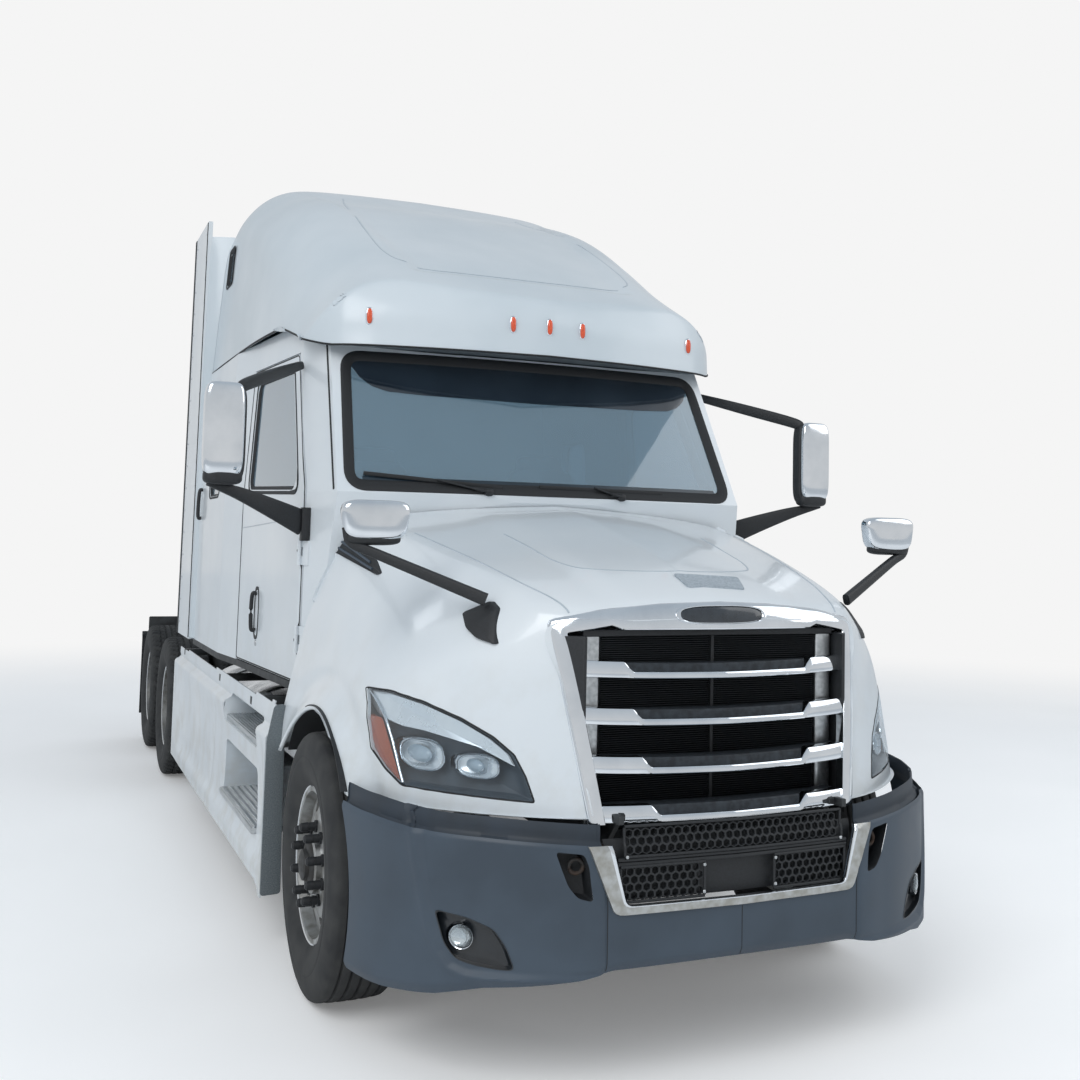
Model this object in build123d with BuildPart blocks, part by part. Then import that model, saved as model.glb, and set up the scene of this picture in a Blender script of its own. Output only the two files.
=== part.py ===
"""A conventional-cab semi truck tractor unit with a raised-roof sleeper, built piece by piece.

Pieces are drawn with the origin on the ground under the front axle: x across (+X is the vehicle's left), y
back from the axle and z up, so the truck faces -Y. Each is moved by AXLE_Y as it is written, which puts the
origin on the ground under the middle of the whole truck.
"""
import os
from math import cos, radians, sin

from build123d import *

os.makedirs("parts", exist_ok=True)

# ---------------------------------------------------------------- driving dimensions, mm
OVERALL_LENGTH = 8340           # bumper nose to the tail of the frame
FRONT_OVERHANG = 1290           # bumper nose to front axle
REAR_OVERHANG = 1437            # middle of the tandem to the tail of the frame
TANDEM_SPACING = 1320
WHEEL_RADIUS = 500
FRONT_TRACK = 2080              # between the front tyres' middle planes
DUAL_TRACK = 1840               # between the middles of the twin tyres
TWIN_SPACING = 340              # between the two tyres of one twin
FIT = 0.3                       # clearance at seats
RUNNING = 0.08                  # radial clearance round a pin or spindle
SEAL = 0.8                      # gap round a window pane
SHUT_LINE = 6                   # gap round a door or a lamp

FRAME_TOP = 1010
RAIL_OUTER = 432                # half the width over the rails
RAIL_FLANGE = 89
RAIL_DEPTH = 270
RAIL_GAUGE = 10
RAIL_FRONT = -900

CAB_WALL = 60
CAB_BOTTOM = 1070
CAB_FLOOR_GAUGE = 34
CAB_BACK = 3450
GLASS_INSET, GLASS_GAUGE = 14, 6
ROOF_TOP = 3950

HOOD_SKIN = 30
HOOD_BOTTOM = 860
ARCH_RADIUS = 590
HINGE_BACK, HINGE_HEIGHT = -1185, 862   # the hood's hinge line
HINGE_PIN = 8

BUMPER_TOP, BUMPER_BOTTOM = 832, 300
BUMPER_SKIN = 22

KINGPIN_OUT = 905               # steering axis, distance across
KINGPIN_RADIUS = 18
SPINDLE_RADIUS = 38
DRIVE_SPINDLE_RADIUS = 60

FIFTH_AHEAD = 53                # fifth wheel's pivot in front of the tandem's middle
FIFTH_PIVOT = 1130              # height of its pivot
FIFTH_TOP = 1220                # height of its plate
COUPLER_SLOT = 52               # width of the throat that takes a 2 inch (50.8) kingpin

# Limits of cutting tools, beyond the truck on every side.
ACROSS = (-1500, 1500)
LEFT_SIDE = (900, 1500)
AHEAD, BEHIND = -1600, 4500
GRILLE_DEPTH = (-1400, -1000)   # from ahead of the bumper to behind the grille

# ---------------------------------------------------------------- places worked out from them
AXLE_Y = FRONT_OVERHANG - OVERALL_LENGTH / 2
WHEELBASE = OVERALL_LENGTH - FRONT_OVERHANG - REAR_OVERHANG
FIFTH_BACK = WHEELBASE - FIFTH_AHEAD
REAR_END = OVERALL_LENGTH - FRONT_OVERHANG
DRIVE_BACKS = {"front": WHEELBASE - TANDEM_SPACING / 2, "rear": WHEELBASE + TANDEM_SPACING / 2}
TYRES_START = DRIVE_BACKS["front"] - WHEEL_RADIUS
FRAME_BOTTOM = FRAME_TOP - RAIL_DEPTH
RAIL_INNER = RAIL_OUTER - RAIL_FLANGE
CAB_FLOOR_TOP = CAB_BOTTOM + CAB_FLOOR_GAUGE
SIDES = {"right": -1, "left": 1}


def block(x, y, z):
    """A box between two limits along each axis."""
    size = [abs(b - a) for a, b in (x, y, z)]
    middle = [(a + b) / 2 for a, b in (x, y, z)]
    with BuildPart() as box:
        with Locations(tuple(middle)):
            Box(*size)
    return box.part


def prism(plane, points, depth, round_to=0):
    """A closed outline on a plane, its corners rounded if asked, extruded along the plane's normal."""
    with BuildPart() as made:
        with BuildSketch(plane):
            with BuildLine():
                if round_to:
                    FilletPolyline(*points, radius=round_to, close=True)
                else:
                    Polyline(*points, close=True)
            make_face()
        extrude(amount=depth)
    return made.part


def side_prism(points, x, round_to=0):
    """An outline of (back, height) points between two distances across."""
    return prism(Plane.YZ.offset(min(x)), points, max(x) - min(x), round_to)


def front_prism(points, y, round_to=0):
    """An outline of (across, height) points between two distances back."""
    return prism(Plane.XZ.offset(-max(y)), points, max(y) - min(y), round_to)


def rod(start, end, radius):
    """A round bar between two points."""
    axis = Vector(*end) - Vector(*start)
    with BuildPart(Plane(origin=start, z_dir=axis)) as bar:
        Cylinder(radius, axis.length, align=(Align.CENTER, Align.CENTER, Align.MIN))
    return bar.part


def long_rod(out, height, y, radius):
    """A round bar that lies along the truck."""
    return rod((out, min(y), height), (out, max(y), height), radius)


def cross_rod(back, height, x, radius):
    """A round bar that lies across the truck."""
    return rod((min(x), back, height), (max(x), back, height), radius)


def turned(points):
    """A solid of revolution about the X axis, from (along X, radius) points."""
    with BuildPart() as spun:
        with BuildSketch(Plane.XZ):
            with BuildLine():
                Polyline(*points, close=True)
            make_face()
        revolve(axis=Axis.X)
    return spun.part


def both_halves(points):
    """An outline that's the same on both sides, from its points on the left, bottom first."""
    return points + [(-x, z) for x, z in reversed(points)]


def pair(shape):
    """A piece and its mirror image on the other side of the truck."""
    return Part() + shape + mirror(shape, about=Plane.YZ)


def on_side(shape, side):
    """A piece drawn on the left, put on the side asked for."""
    return shape if side > 0 else mirror(shape, about=Plane.YZ)


def write(name, shape):
    """Moves a finished piece to the row frame, labels it and writes its file."""
    placed = Location((0, AXLE_Y, 0)) * Part(shape.solids())
    placed.label = name
    export_step(placed, f"parts/{name}.step")


# ================================================================ frame
CAB_MOUNT_BACKS = [950, 2150, 3340]
CROSSMEMBER_BACKS = [1450, 2500, CAB_BACK + 50, TYRES_START - 153, WHEELBASE, REAR_END - 300]
FRONT_MEMBER = {"x": (-530, 530), "y": (-1040, RAIL_FRONT), "z": (745, 790)}
HINGE_PLATE = (400, 418)        # bracket on the frame, distance across
HINGE_LUG = (422, 440)          # the hood's lug beside it
HINGE_PLATE_SHAPE = [
    (-1040, 830), (-1040, 745), (-1100, 770), (HINGE_BACK + 10, HINGE_HEIGHT - 14),
    (HINGE_BACK - 12, HINGE_HEIGHT - 9), (HINGE_BACK - 12, HINGE_HEIGHT + 10),
    (HINGE_BACK + 5, HINGE_HEIGHT + 16)]

rail_end = REAR_END - 12
frame = Part()
for side in SIDES.values():
    # A pressed C-channel, its open side facing in.
    web = sorted((side * (RAIL_OUTER - RAIL_GAUGE), side * RAIL_OUTER))
    flange = sorted((side * RAIL_INNER, side * RAIL_OUTER))
    frame += block(web, (RAIL_FRONT, rail_end), (FRAME_BOTTOM, FRAME_TOP))
    frame += block(flange, (RAIL_FRONT, rail_end), (FRAME_TOP - RAIL_GAUGE, FRAME_TOP))
    frame += block(flange, (RAIL_FRONT, rail_end), (FRAME_BOTTOM, FRAME_BOTTOM + RAIL_GAUGE))
for back in CROSSMEMBER_BACKS:
    across = (RAIL_GAUGE - RAIL_OUTER, RAIL_OUTER - RAIL_GAUGE)
    frame += block(across, (back - 5, back + 5), (FRAME_BOTTOM + 30, FRAME_TOP - 30))
    frame += block(across, (back - 45, back + 45), (FRAME_BOTTOM + 30, FRAME_BOTTOM + 40))
    frame += block(across, (back - 45, back + 45), (FRAME_TOP - 40, FRAME_TOP - 30))
frame += block((-RAIL_OUTER, RAIL_OUTER), (rail_end, REAR_END), (FRAME_BOTTOM, FRAME_TOP))
frame += block(*FRONT_MEMBER.values())
for back in CAB_MOUNT_BACKS:
    for side in SIDES.values():
        across = sorted((side * (RAIL_INNER + 5), side * (RAIL_OUTER - 5)))
        frame += block(across, (back - 60, back + 60), (FRAME_TOP - 5, CAB_BOTTOM - FIT))
for side in SIDES.values():
    frame += on_side(side_prism(HINGE_PLATE_SHAPE, HINGE_PLATE), side)
    frame += on_side(cross_rod(HINGE_BACK, HINGE_HEIGHT, (HINGE_PLATE[0], HINGE_LUG[1]), HINGE_PIN), side)
write("frame", frame)

# ================================================================ axles and suspension
SPRING_OUT = 388                # springs' distance across, under the rails
BEAM_TOP = 450
FORK_GAP = 5
BOSS = {"radius": 42, "z": (450, 550)}
BEAM_HALF, BEAM_BOTTOM = 45, 360
BEAM_END_SHAPE = [
    (760, BEAM_BOTTOM), (810, BEAM_BOTTOM), (KINGPIN_OUT, BOSS["z"][0] + 5), (KINGPIN_OUT, BOSS["z"][1] - 5),
    (800, BOSS["z"][1] - 5), (740, BEAM_TOP)]
front_beam = block((-800, 800), (-BEAM_HALF, BEAM_HALF), (BEAM_BOTTOM, BEAM_TOP))
for side in SIDES.values():
    front_beam += on_side(front_prism(BEAM_END_SHAPE, (-BEAM_HALF, BEAM_HALF)), side)
    out = side * KINGPIN_OUT
    front_beam += rod((out, 0, BOSS["z"][0]), (out, 0, BOSS["z"][1]), BOSS["radius"])
for side in SIDES.values():
    out = side * KINGPIN_OUT
    front_beam -= rod((out, 0, 300), (out, 0, 700), KINGPIN_RADIUS + RUNNING)
    # The beam's end keeps clear of the knuckle's forks as they turn.
    for z in ((BOSS["z"][1], 600), (400, BOSS["z"][0])):
        front_beam -= rod((out, 0, z[0]), (out, 0, z[1]), 60)

AXLE_TUBE = {"half": 770, "radius": 70}
SPINDLE_END = 1060
DIFF_SHAPE = [(-200, 0), (-150, 140), (-60, 200), (60, 200), (150, 140), (200, 0)]
drive_axles = Part()
for back in DRIVE_BACKS.values():
    drive_axles += cross_rod(back, WHEEL_RADIUS, (-AXLE_TUBE["half"], AXLE_TUBE["half"]), AXLE_TUBE["radius"])
    drive_axles += cross_rod(back, WHEEL_RADIUS, (-SPINDLE_END, SPINDLE_END), DRIVE_SPINDLE_RADIUS)
    drive_axles += turned(DIFF_SHAPE).moved(Location((0, back, WHEEL_RADIUS)))
write("axles", Part() + front_beam + drive_axles)

LEAF_SHAPE = [
    (-760, 620), (-400, 530), (0, 500), (400, 530), (800, 620), (800, 680), (400, 590), (0, 560), (-400, 590),
    (-760, 680)]
AIR_SPRING = {"back": 310, "radius": 105}
springs = Part()
for side in SIDES.values():
    out = (side * (SPRING_OUT - 40), side * (SPRING_OUT + 40))
    leaf = side_prism(LEAF_SHAPE, out)
    leaf += block(out, (-760, -690), (620, FRAME_BOTTOM - FIT))
    leaf += block(out, (730, 800), (620, FRAME_BOTTOM - FIT))
    leaf += block(out, (-45, 45), (BEAM_TOP + FIT, 520))
    springs += leaf
    for back in DRIVE_BACKS.values():
        # A trailing arm under the axle with its hanger in front and the air spring on its tail.
        arm = block(out, (back - 560, back + 420), (360, WHEEL_RADIUS - AXLE_TUBE["radius"] - FIT))
        arm += block(out, (back - 560, back - 480), (360, FRAME_BOTTOM - FIT))
        middle = (side * SPRING_OUT, back + AIR_SPRING["back"])
        arm += rod((*middle, 420), (*middle, FRAME_BOTTOM - FIT), AIR_SPRING["radius"])
        springs += arm
write("suspension", springs)

# ================================================================ wheels
# Profiles are (along the axle, radius), outboard positive, from the wheel's own middle plane.
BEAD = 103
RIM_SEAT, RIM_INNER, RIM_FLANGE = 289.7, 272, 305
TYRE_RIGHT = [(112, WHEEL_RADIUS), (138, 470), (146, 420), (140, 360), (BEAD, RIM_FLANGE + 1), (BEAD, 290)]
TYRE_SHAPE = [(-x, radius) for x, radius in reversed(TYRE_RIGHT)] + TYRE_RIGHT
HAND_HOLES = 10
HAND_HOLE_RADIUS, HAND_HOLE_CIRCLE = 28, 222

FRONT_RIM_SHAPE = [
    (-BEAD, RIM_SEAT), (BEAD, RIM_SEAT), (BEAD + FIT, RIM_FLANGE), (BEAD + 10, RIM_FLANGE),
    (BEAD + 8, RIM_INNER),
    (70, 262), (92, 180), (100, 150), (100, 110), (118, 108), (128, 85), (128, 0), (112, 0),
    (112, SPINDLE_RADIUS + RUNNING), (-40, SPINDLE_RADIUS + RUNNING), (-40, 90), (60, 90), (84, 150),
    (60, 245), (30, RIM_INNER),
    (-BEAD - 8, RIM_INNER), (-BEAD - 10, RIM_FLANGE), (-BEAD - FIT, RIM_FLANGE)]
TWIN = TWIN_SPACING / 2
TWIN_RIM_SHAPE = [
    (TWIN - BEAD - 10, RIM_FLANGE), (TWIN - BEAD - FIT, RIM_FLANGE), (TWIN - BEAD, RIM_SEAT),
    (TWIN + BEAD, RIM_SEAT), (TWIN + BEAD + FIT, RIM_FLANGE), (TWIN + BEAD + 10, RIM_FLANGE),
    (TWIN + BEAD + 8, RIM_INNER), (TWIN - 40, RIM_INNER), (30, 200), (12, 165), (12, 110), (150, 100),
    (170, 80), (170, 0), (150, 0), (150, DRIVE_SPINDLE_RADIUS + RUNNING),
    (-110, DRIVE_SPINDLE_RADIUS + RUNNING), (-110, 95), (-12, 110),
    (-12, 165), (-30, 200), (-TWIN + 40, RIM_INNER), (-TWIN - BEAD - 8, RIM_INNER),
    (-TWIN - BEAD - 10, RIM_FLANGE), (-TWIN - BEAD - FIT, RIM_FLANGE), (-TWIN - BEAD, RIM_SEAT),
    (-TWIN + BEAD, RIM_SEAT), (-TWIN + BEAD + FIT, RIM_FLANGE), (-TWIN + BEAD + 10, RIM_FLANGE),
    (-TWIN + BEAD + 8, 276), (0, 214), (TWIN - BEAD - 8, 276)]


def hand_holes(x):
    """The ring of round holes through a wheel disc."""
    holes = Part()
    for turn in range(HAND_HOLES):
        angle = radians(turn * 360 / HAND_HOLES)
        y, z = HAND_HOLE_CIRCLE * cos(angle), HAND_HOLE_CIRCLE * sin(angle)
        holes += rod((x[0], y, z), (x[1], y, z), HAND_HOLE_RADIUS)
    return holes


tyre = turned(TYRE_SHAPE)
front_rim = turned(FRONT_RIM_SHAPE) - hand_holes((50, 110))
twin_rim = turned(TWIN_RIM_SHAPE)
for name, side in SIDES.items():
    place = Location((FRONT_TRACK / 2, 0, WHEEL_RADIUS))
    write(f"front_tyre_{name}", on_side(place * tyre, side))
    write(f"front_rim_{name}", on_side(place * front_rim, side))
    for row, back in DRIVE_BACKS.items():
        middle = DUAL_TRACK / 2
        outer = Location((middle + TWIN, back, WHEEL_RADIUS)) * tyre
        inner = Location((middle - TWIN, back, WHEEL_RADIUS)) * tyre
        write(f"{row}_drive_tyres_{name}", on_side(Part() + outer + inner, side))
        write(f"{row}_drive_rims_{name}", on_side(Location((middle, back, WHEEL_RADIUS)) * twin_rim, side))

# Steering knuckle: kingpin through the beam's boss, a fork over and under it, and the spindle.
FORK = {"radius": 48, "gauge": 35, "block": (957, 990)}
fork_top, fork_low = BOSS["z"][1] + FORK_GAP, BOSS["z"][0] - FORK_GAP
fork_ends = (fork_low - FORK["gauge"], fork_top + FORK["gauge"])
knuckle = rod((KINGPIN_OUT, 0, fork_ends[0]), (KINGPIN_OUT, 0, fork_ends[1]), KINGPIN_RADIUS)
for z in ((fork_top, fork_ends[1]), (fork_ends[0], fork_low)):
    knuckle += rod((KINGPIN_OUT, 0, z[0]), (KINGPIN_OUT, 0, z[1]), FORK["radius"])
    knuckle += block((KINGPIN_OUT, FORK["block"][0] + 5), (-40, 40), z)
knuckle += block(FORK["block"], (-48, 48), fork_ends)
knuckle += cross_rod(0, WHEEL_RADIUS, (FORK["block"][0] + 5, FRONT_TRACK / 2 + 110), SPINDLE_RADIUS)
for name, side in SIDES.items():
    write(f"knuckle_{name}", on_side(knuckle, side))

# ================================================================ engine, radiator and tanks
engine = block((-330, 330), (-750, 480), (640, 1330)) + block((-240, 240), (-680, 420), (1330, 1500))
engine += block((-RAIL_OUTER, RAIL_OUTER), (-260, -60), (FRAME_TOP + FIT, FRAME_TOP + 40))
write("engine_block", engine)
write("radiator", block((-500, 500), (-1035, -925), (FRONT_MEMBER["z"][1] + FIT, 1440)))

TANK = {"out": 800, "height": 600, "radius": 300, "y": (2080, TYRES_START - 553)}
TANK_HANGER = {"out": 640, "half": 50, "z": (760, 860), "share": (0.19, 0.75)}
tank = long_rod(TANK["out"], TANK["height"], TANK["y"], TANK["radius"])
for share in TANK_HANGER["share"]:
    back = TANK["y"][0] + share * (TANK["y"][1] - TANK["y"][0])
    hanger_y = (back - TANK_HANGER["half"], back + TANK_HANGER["half"])
    tank += block((RAIL_OUTER + FIT, TANK_HANGER["out"]), hanger_y, TANK_HANGER["z"])
write("fuel_tanks", pair(tank))

# ================================================================ cab and sleeper
# The hood's rear edge. Its distance from the hood's hinge grows with height, so the hood lifts clear.
HOOD_EDGE = [(645, 800), (645, 860), (640, 1000), (590, 1400), (500, 1700), (400, 1930), (385, 2100)]
CAB_GAP = 8
# height, then how far out or back: corner out, corner back, pillar out, pillar back, door rear out,
# sleeper front out, sleeper rear out, nose back
CAB_SECTIONS = [
    (CAB_BOTTOM, 1050, 640, 1095, 760, 1165, 1205, 1212, 600),
    (1955, 1000, 464, 1090, 760, 1160, 1200, 1210, 400),
    (2640, 968, 857, 1040, 1100, 1120, 1165, 1180, 770),
    (2900, 955, 1008, 1030, 1240, 1100, 1150, 1168, 910)]
DOOR_BACK = 1990
SLEEPER_FRONT = 2400


def cab_body(inset):
    """The cab and sleeper as a filled form under the roof cap, its faces moved in by an inset."""
    with BuildPart() as body:
        for height, corner, front, pillar, pillar_back, door, sleeper, rear, nose in CAB_SECTIONS:
            left = [(corner - inset, front + inset), (pillar - inset, pillar_back), (door - inset, DOOR_BACK),
                    (sleeper - inset, SLEEPER_FRONT), (rear - inset, CAB_BACK - inset)]
            with BuildSketch(Plane.XY.offset(height)):
                with BuildLine():
                    Polyline(*left, *[(-x, y) for x, y in reversed(left)])
                    ThreePointArc((-left[0][0], left[0][1]), (0, nose + inset), left[0])
                make_face()
        loft(ruled=True)
    edge = [(back + CAB_GAP + inset, height) for back, height in HOOD_EDGE]
    return body.part & side_prism(edge + [(edge[-1][0], 3300), (BEHIND, 3300), (BEHIND, 800)], ACROSS)


# back, foot out, shoulder out, shoulder height, top out, top height
ROOF_SECTIONS = [
    (480, 1100, 1075, 2700, 760, 2835),
    (1000, 1125, 1015, 2900, 720, 3140),
    (1500, 1145, 1060, 3130, 780, 3400),
    (2000, 1160, 1095, 3380, 800, 3640),
    (2500, 1170, 1105, 3560, 815, 3810),
    (2950, 1178, 1108, 3700, 820, ROOF_TOP),
    (CAB_BACK, 1184, 1108, 3660, 820, ROOF_TOP - 55)]
ROOF_FOOT = 2600
ROOF_PLAN_NOSE, ROOF_PLAN_CORNER = 530, (975, 700)
# The seam between the roof cap and the cab, level along the sides and dipping to the visor in front.
ROOF_SEAM = [(300, 2625), (790, 2640), (1400, 2800), (BEHIND, 2800)]


def roof_body(inset):
    """The roof cap as a filled form, its faces moved in by an inset."""
    with BuildPart() as body:
        for back, foot, shoulder, shoulder_height, top, top_height in ROOF_SECTIONS:
            end = back - inset if back == CAB_BACK else back
            half = [(foot - inset, ROOF_FOOT), (shoulder - inset, shoulder_height - inset / 2)]
            crown = (top - inset / 2, top_height - inset)
            bend = ((half[1][0] * 0.55 + crown[0] * 0.45), (half[1][1] * 0.25 + crown[1] * 0.75))
            with BuildSketch(Plane.XZ.offset(-end)):
                with BuildLine():
                    Polyline((-half[0][0], ROOF_FOOT), half[0], half[1])
                    ThreePointArc(half[1], bend, crown)
                    ThreePointArc(crown, (0, crown[1] + 12), (-crown[0], crown[1]))
                    ThreePointArc((-crown[0], crown[1]), (-bend[0], bend[1]), (-half[1][0], half[1][1]))
                    Polyline((-half[1][0], half[1][1]), (-half[0][0], ROOF_FOOT))
                make_face()
        loft(ruled=True)
    corner = (ROOF_PLAN_CORNER[0] - inset, ROOF_PLAN_CORNER[1] + inset)
    left = [corner, (1080 - inset, 850 + inset), (1250, 1500), (1250, CAB_BACK + 100)]
    with BuildPart() as plan:
        with BuildSketch(Plane.XY.offset(2500)):
            with BuildLine():
                Polyline(*left, *[(-x, y) for x, y in reversed(left)])
                ThreePointArc((-corner[0], corner[1]), (0, ROOF_PLAN_NOSE + inset), corner)
            make_face()
        extrude(amount=1600)
    return body.part & plan.part


cab_outer = cab_body(0)
cab_inner = cab_body(CAB_WALL)
cab_glazing = cab_body(GLASS_INSET) - cab_body(GLASS_INSET + GLASS_GAUGE)
below_seam = side_prism([(x, z - FIT) for x, z in ROOF_SEAM] + [(BEHIND, 1000), (300, 1000)], ACROSS)
above_seam = side_prism(ROOF_SEAM + [(BEHIND, 4200), (300, 4200)], ACROSS)
cab_shell = (cab_outer - cab_inner) & below_seam & block(ACROSS, (300, BEHIND), (CAB_FLOOR_TOP + FIT, 2900))

# Door and window outlines as (back, height).
DOOR_EDGE = [(736, 1110), (DOOR_BACK, 1110), (DOOR_BACK, 2640), (1168, 2640), (736, 1962)]
DOOR_HOLE = [
    (650, DOOR_EDGE[0][1] - SHUT_LINE), (DOOR_BACK + SHUT_LINE, DOOR_EDGE[0][1] - SHUT_LINE),
    (DOOR_BACK + SHUT_LINE, DOOR_EDGE[2][1] + SHUT_LINE), (1100, DOOR_EDGE[2][1] + SHUT_LINE), (650, 2000)]
DOOR_WINDOW = [(860, 1970), (1870, 2000), (1890, 2575), (1235, 2575)]
SLEEPER_WINDOW = [(2640, 1990), (3020, 1990), (3020, 2420), (2640, 2420)]
ROOF_WINDOW = [(2960, 3320), (3180, 3320), (3180, 3540), (2990, 3540)]
WINDSCREEN = [(-945, 1985), (945, 1985), (905, 2605), (-905, 2605)]
WINDSCREEN_DEPTH = (200, 1300)
PILLAR_LINE = [(724, 900), (724, 1966), (1160, 2650), (1280, 2900)]


def window_hole(outline, grow, x=(950, 1400), round_to=60):
    """A window's prism through the left wall, its outline grown for the aperture."""
    with BuildPart() as hole:
        with BuildSketch(Plane.YZ.offset(x[0])):
            with BuildLine():
                FilletPolyline(*outline, radius=round_to, close=True)
            make_face()
            if grow:
                offset(amount=grow)
        extrude(amount=x[1] - x[0])
    return hole.part


cab_front = cab_shell & side_prism(PILLAR_LINE + [(200, 2900), (200, 900)], ACROSS)
cab_front -= front_prism(WINDSCREEN, WINDSCREEN_DEPTH, 70)

behind_pillar = side_prism([(x + FIT, z) for x, z in PILLAR_LINE] + [(BEHIND, 2900), (BEHIND, 900)], ACROSS)
cab_side = cab_shell & behind_pillar & block((0, ACROSS[1]), (600, CAB_BACK - CAB_WALL - FIT), (1000, 3000))
cab_side -= side_prism(DOOR_HOLE, LEFT_SIDE)
cab_side -= window_hole(SLEEPER_WINDOW, 0)
write("cab_sides", pair(cab_side))

write("cab_back", cab_shell & block(ACROSS, (CAB_BACK - CAB_WALL, BEHIND), (1000, 3000)))
write("cab_floor", cab_outer - block(ACROSS, (300, BEHIND), (CAB_FLOOR_TOP, 3300)))

roof_shell = (roof_body(0) - roof_body(CAB_WALL)) & above_seam
roof_shell -= pair(window_hole(ROOF_WINDOW, 0, round_to=30))
write("roof_cap", roof_shell)

roof_glazing = roof_body(GLASS_INSET) - roof_body(GLASS_INSET + GLASS_GAUGE)
windscreen_edge = [(x * (1 - SEAL / 900), z + (SEAL if z < 2200 else -SEAL)) for x, z in WINDSCREEN]
glass = cab_glazing & front_prism(windscreen_edge, WINDSCREEN_DEPTH, 70)
glass += pair(cab_glazing & window_hole(SLEEPER_WINDOW, -SEAL))
glass += pair(roof_glazing & window_hole(ROOF_WINDOW, -SEAL, round_to=30))
write("cab_glass", glass)

# Two exposed hinges a side: plates that follow the skin, the door's knuckle between the pillar's two.
DOOR_AXIS = (1098, 740)         # hinge line, across and back
HINGE_HEIGHTS = (1300, 1690)
HINGE_HALF, KNUCKLE_HALF, BARREL, PIN = 60, 20, 10, 5
HINGE_OUT = (1000, 1150)
hinge_skin = cab_body(-6) - cab_outer
pillar_hinge, door_hinge, pin_hole = Part(), Part(), Part()
for height in HINGE_HEIGHTS:
    whole = (height - HINGE_HALF, height + HINGE_HALF)
    pillar_hinge += hinge_skin & block(HINGE_OUT, (680, DOOR_AXIS[1] - 18), whole)
    for z in ((whole[0], height - KNUCKLE_HALF - FIT), (height + KNUCKLE_HALF + FIT, whole[1])):
        pillar_hinge += rod((*DOOR_AXIS, z[0]), (*DOOR_AXIS, z[1]), BARREL)
        pillar_hinge += hinge_skin & block(HINGE_OUT, (680, DOOR_AXIS[1] - 4), z)
    pillar_hinge += rod((*DOOR_AXIS, whole[0]), (*DOOR_AXIS, whole[1]), PIN)
    middle = (height - KNUCKLE_HALF, height + KNUCKLE_HALF)
    door_hinge += rod((*DOOR_AXIS, middle[0]), (*DOOR_AXIS, middle[1]), BARREL)
    door_hinge += hinge_skin & block(HINGE_OUT, (DOOR_AXIS[1] + 4, 800), middle)
    pin_hole += rod((*DOOR_AXIS, middle[0] - 5), (*DOOR_AXIS, middle[1] + 5), PIN + RUNNING)
cab_front += pair(pillar_hinge)
write("cab_front", cab_front)

door = (cab_outer - cab_inner) & side_prism(DOOR_EDGE, LEFT_SIDE)
door -= window_hole(DOOR_WINDOW, 0, LEFT_SIDE)
door = door + door_hinge - pin_hole
door_glass = cab_glazing & window_hole(DOOR_WINDOW, -SEAL, LEFT_SIDE)
for name, side in SIDES.items():
    write(f"door_{name}", on_side(door, side))
    write(f"door_glass_{name}", on_side(door_glass, side))

# ================================================================ cab fittings
floor = CAB_FLOOR_TOP + 2 * FIT
TRIM_GAP = 8                    # between what stands in the cab and its walls
DASH_SHAPE = [
    (700, floor), (860, floor), (900, 1500), (1010, 1680), (980, 1880), (840, 1950), (640, 1945), (650, 1500)]
cab_room = cab_body(CAB_WALL + TRIM_GAP)
dash = side_prism(DASH_SHAPE, (-960, 960)) & cab_room
STEER_CENTRE = (500, 1180, 1890)
column = rod((STEER_CENTRE[0], 930, 1640), STEER_CENTRE, 35)
write("dashboard", dash + (column - dash))
STEER_RADIUS = 215
wheel_plane = Plane(origin=STEER_CENTRE, z_dir=(0, 0.68, 0.73))
with BuildPart(wheel_plane) as steering_wheel:
    with Locations((0, 0, 12)):
        Torus(STEER_RADIUS, 16)
        Cylinder(50, 22)
        Box(2 * STEER_RADIUS, 34, 12)
        Box(34, 2 * STEER_RADIUS, 12)
write("steering_wheel", steering_wheel.part - column)

SEAT_OUT, SEAT_HALF = 500, 230
SEAT_BACK = [(1700, floor + 300), (1840, floor + 300), (1950, floor + 1130), (1830, floor + 1140)]
seat = block((-SEAT_HALF, SEAT_HALF), (1330, 1800), (floor + 300, floor + 470))
seat += side_prism(SEAT_BACK, (-SEAT_HALF, SEAT_HALF))
seat += block((-170, 170), (1400, 1760), (floor, floor + 310))
write("seats", Location((SEAT_OUT, 0, 0)) * seat + Location((-SEAT_OUT, 0, 0)) * seat)
BUNK_BACKS = (CAB_BACK - 810, CAB_BACK - 80)
bunk = block((-1080, 1080), BUNK_BACKS, (floor + 380, floor + 560))
bunk += block((-1050, 1050), (BUNK_BACKS[0] + 40, BUNK_BACKS[1]), (floor, floor + 380))
write("bunk", bunk & cab_room)

# Door mirrors on two arms from each front pillar.
MIRROR_HEAD = [(1385, 1965), (1560, 1965), (1560, 2400), (1385, 2400)]
MIRROR_ARMS = [
    ((1040, 690, 1800), (1450, 540, 1960)), ((1450, 540, 1955), (1450, 540, 2000)),
    ((1010, 1010, 2560), (1450, 540, 2400)), ((1450, 540, 2380), (1450, 540, 2410))]
MIRROR_ARM_RADIUS = 14
cab_mirror = front_prism(MIRROR_HEAD, (470, 570), 30)
for start, end in MIRROR_ARMS:
    cab_mirror += rod(start, end, MIRROR_ARM_RADIUS)
write("cab_mirrors", pair(cab_mirror - cab_outer))

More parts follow.
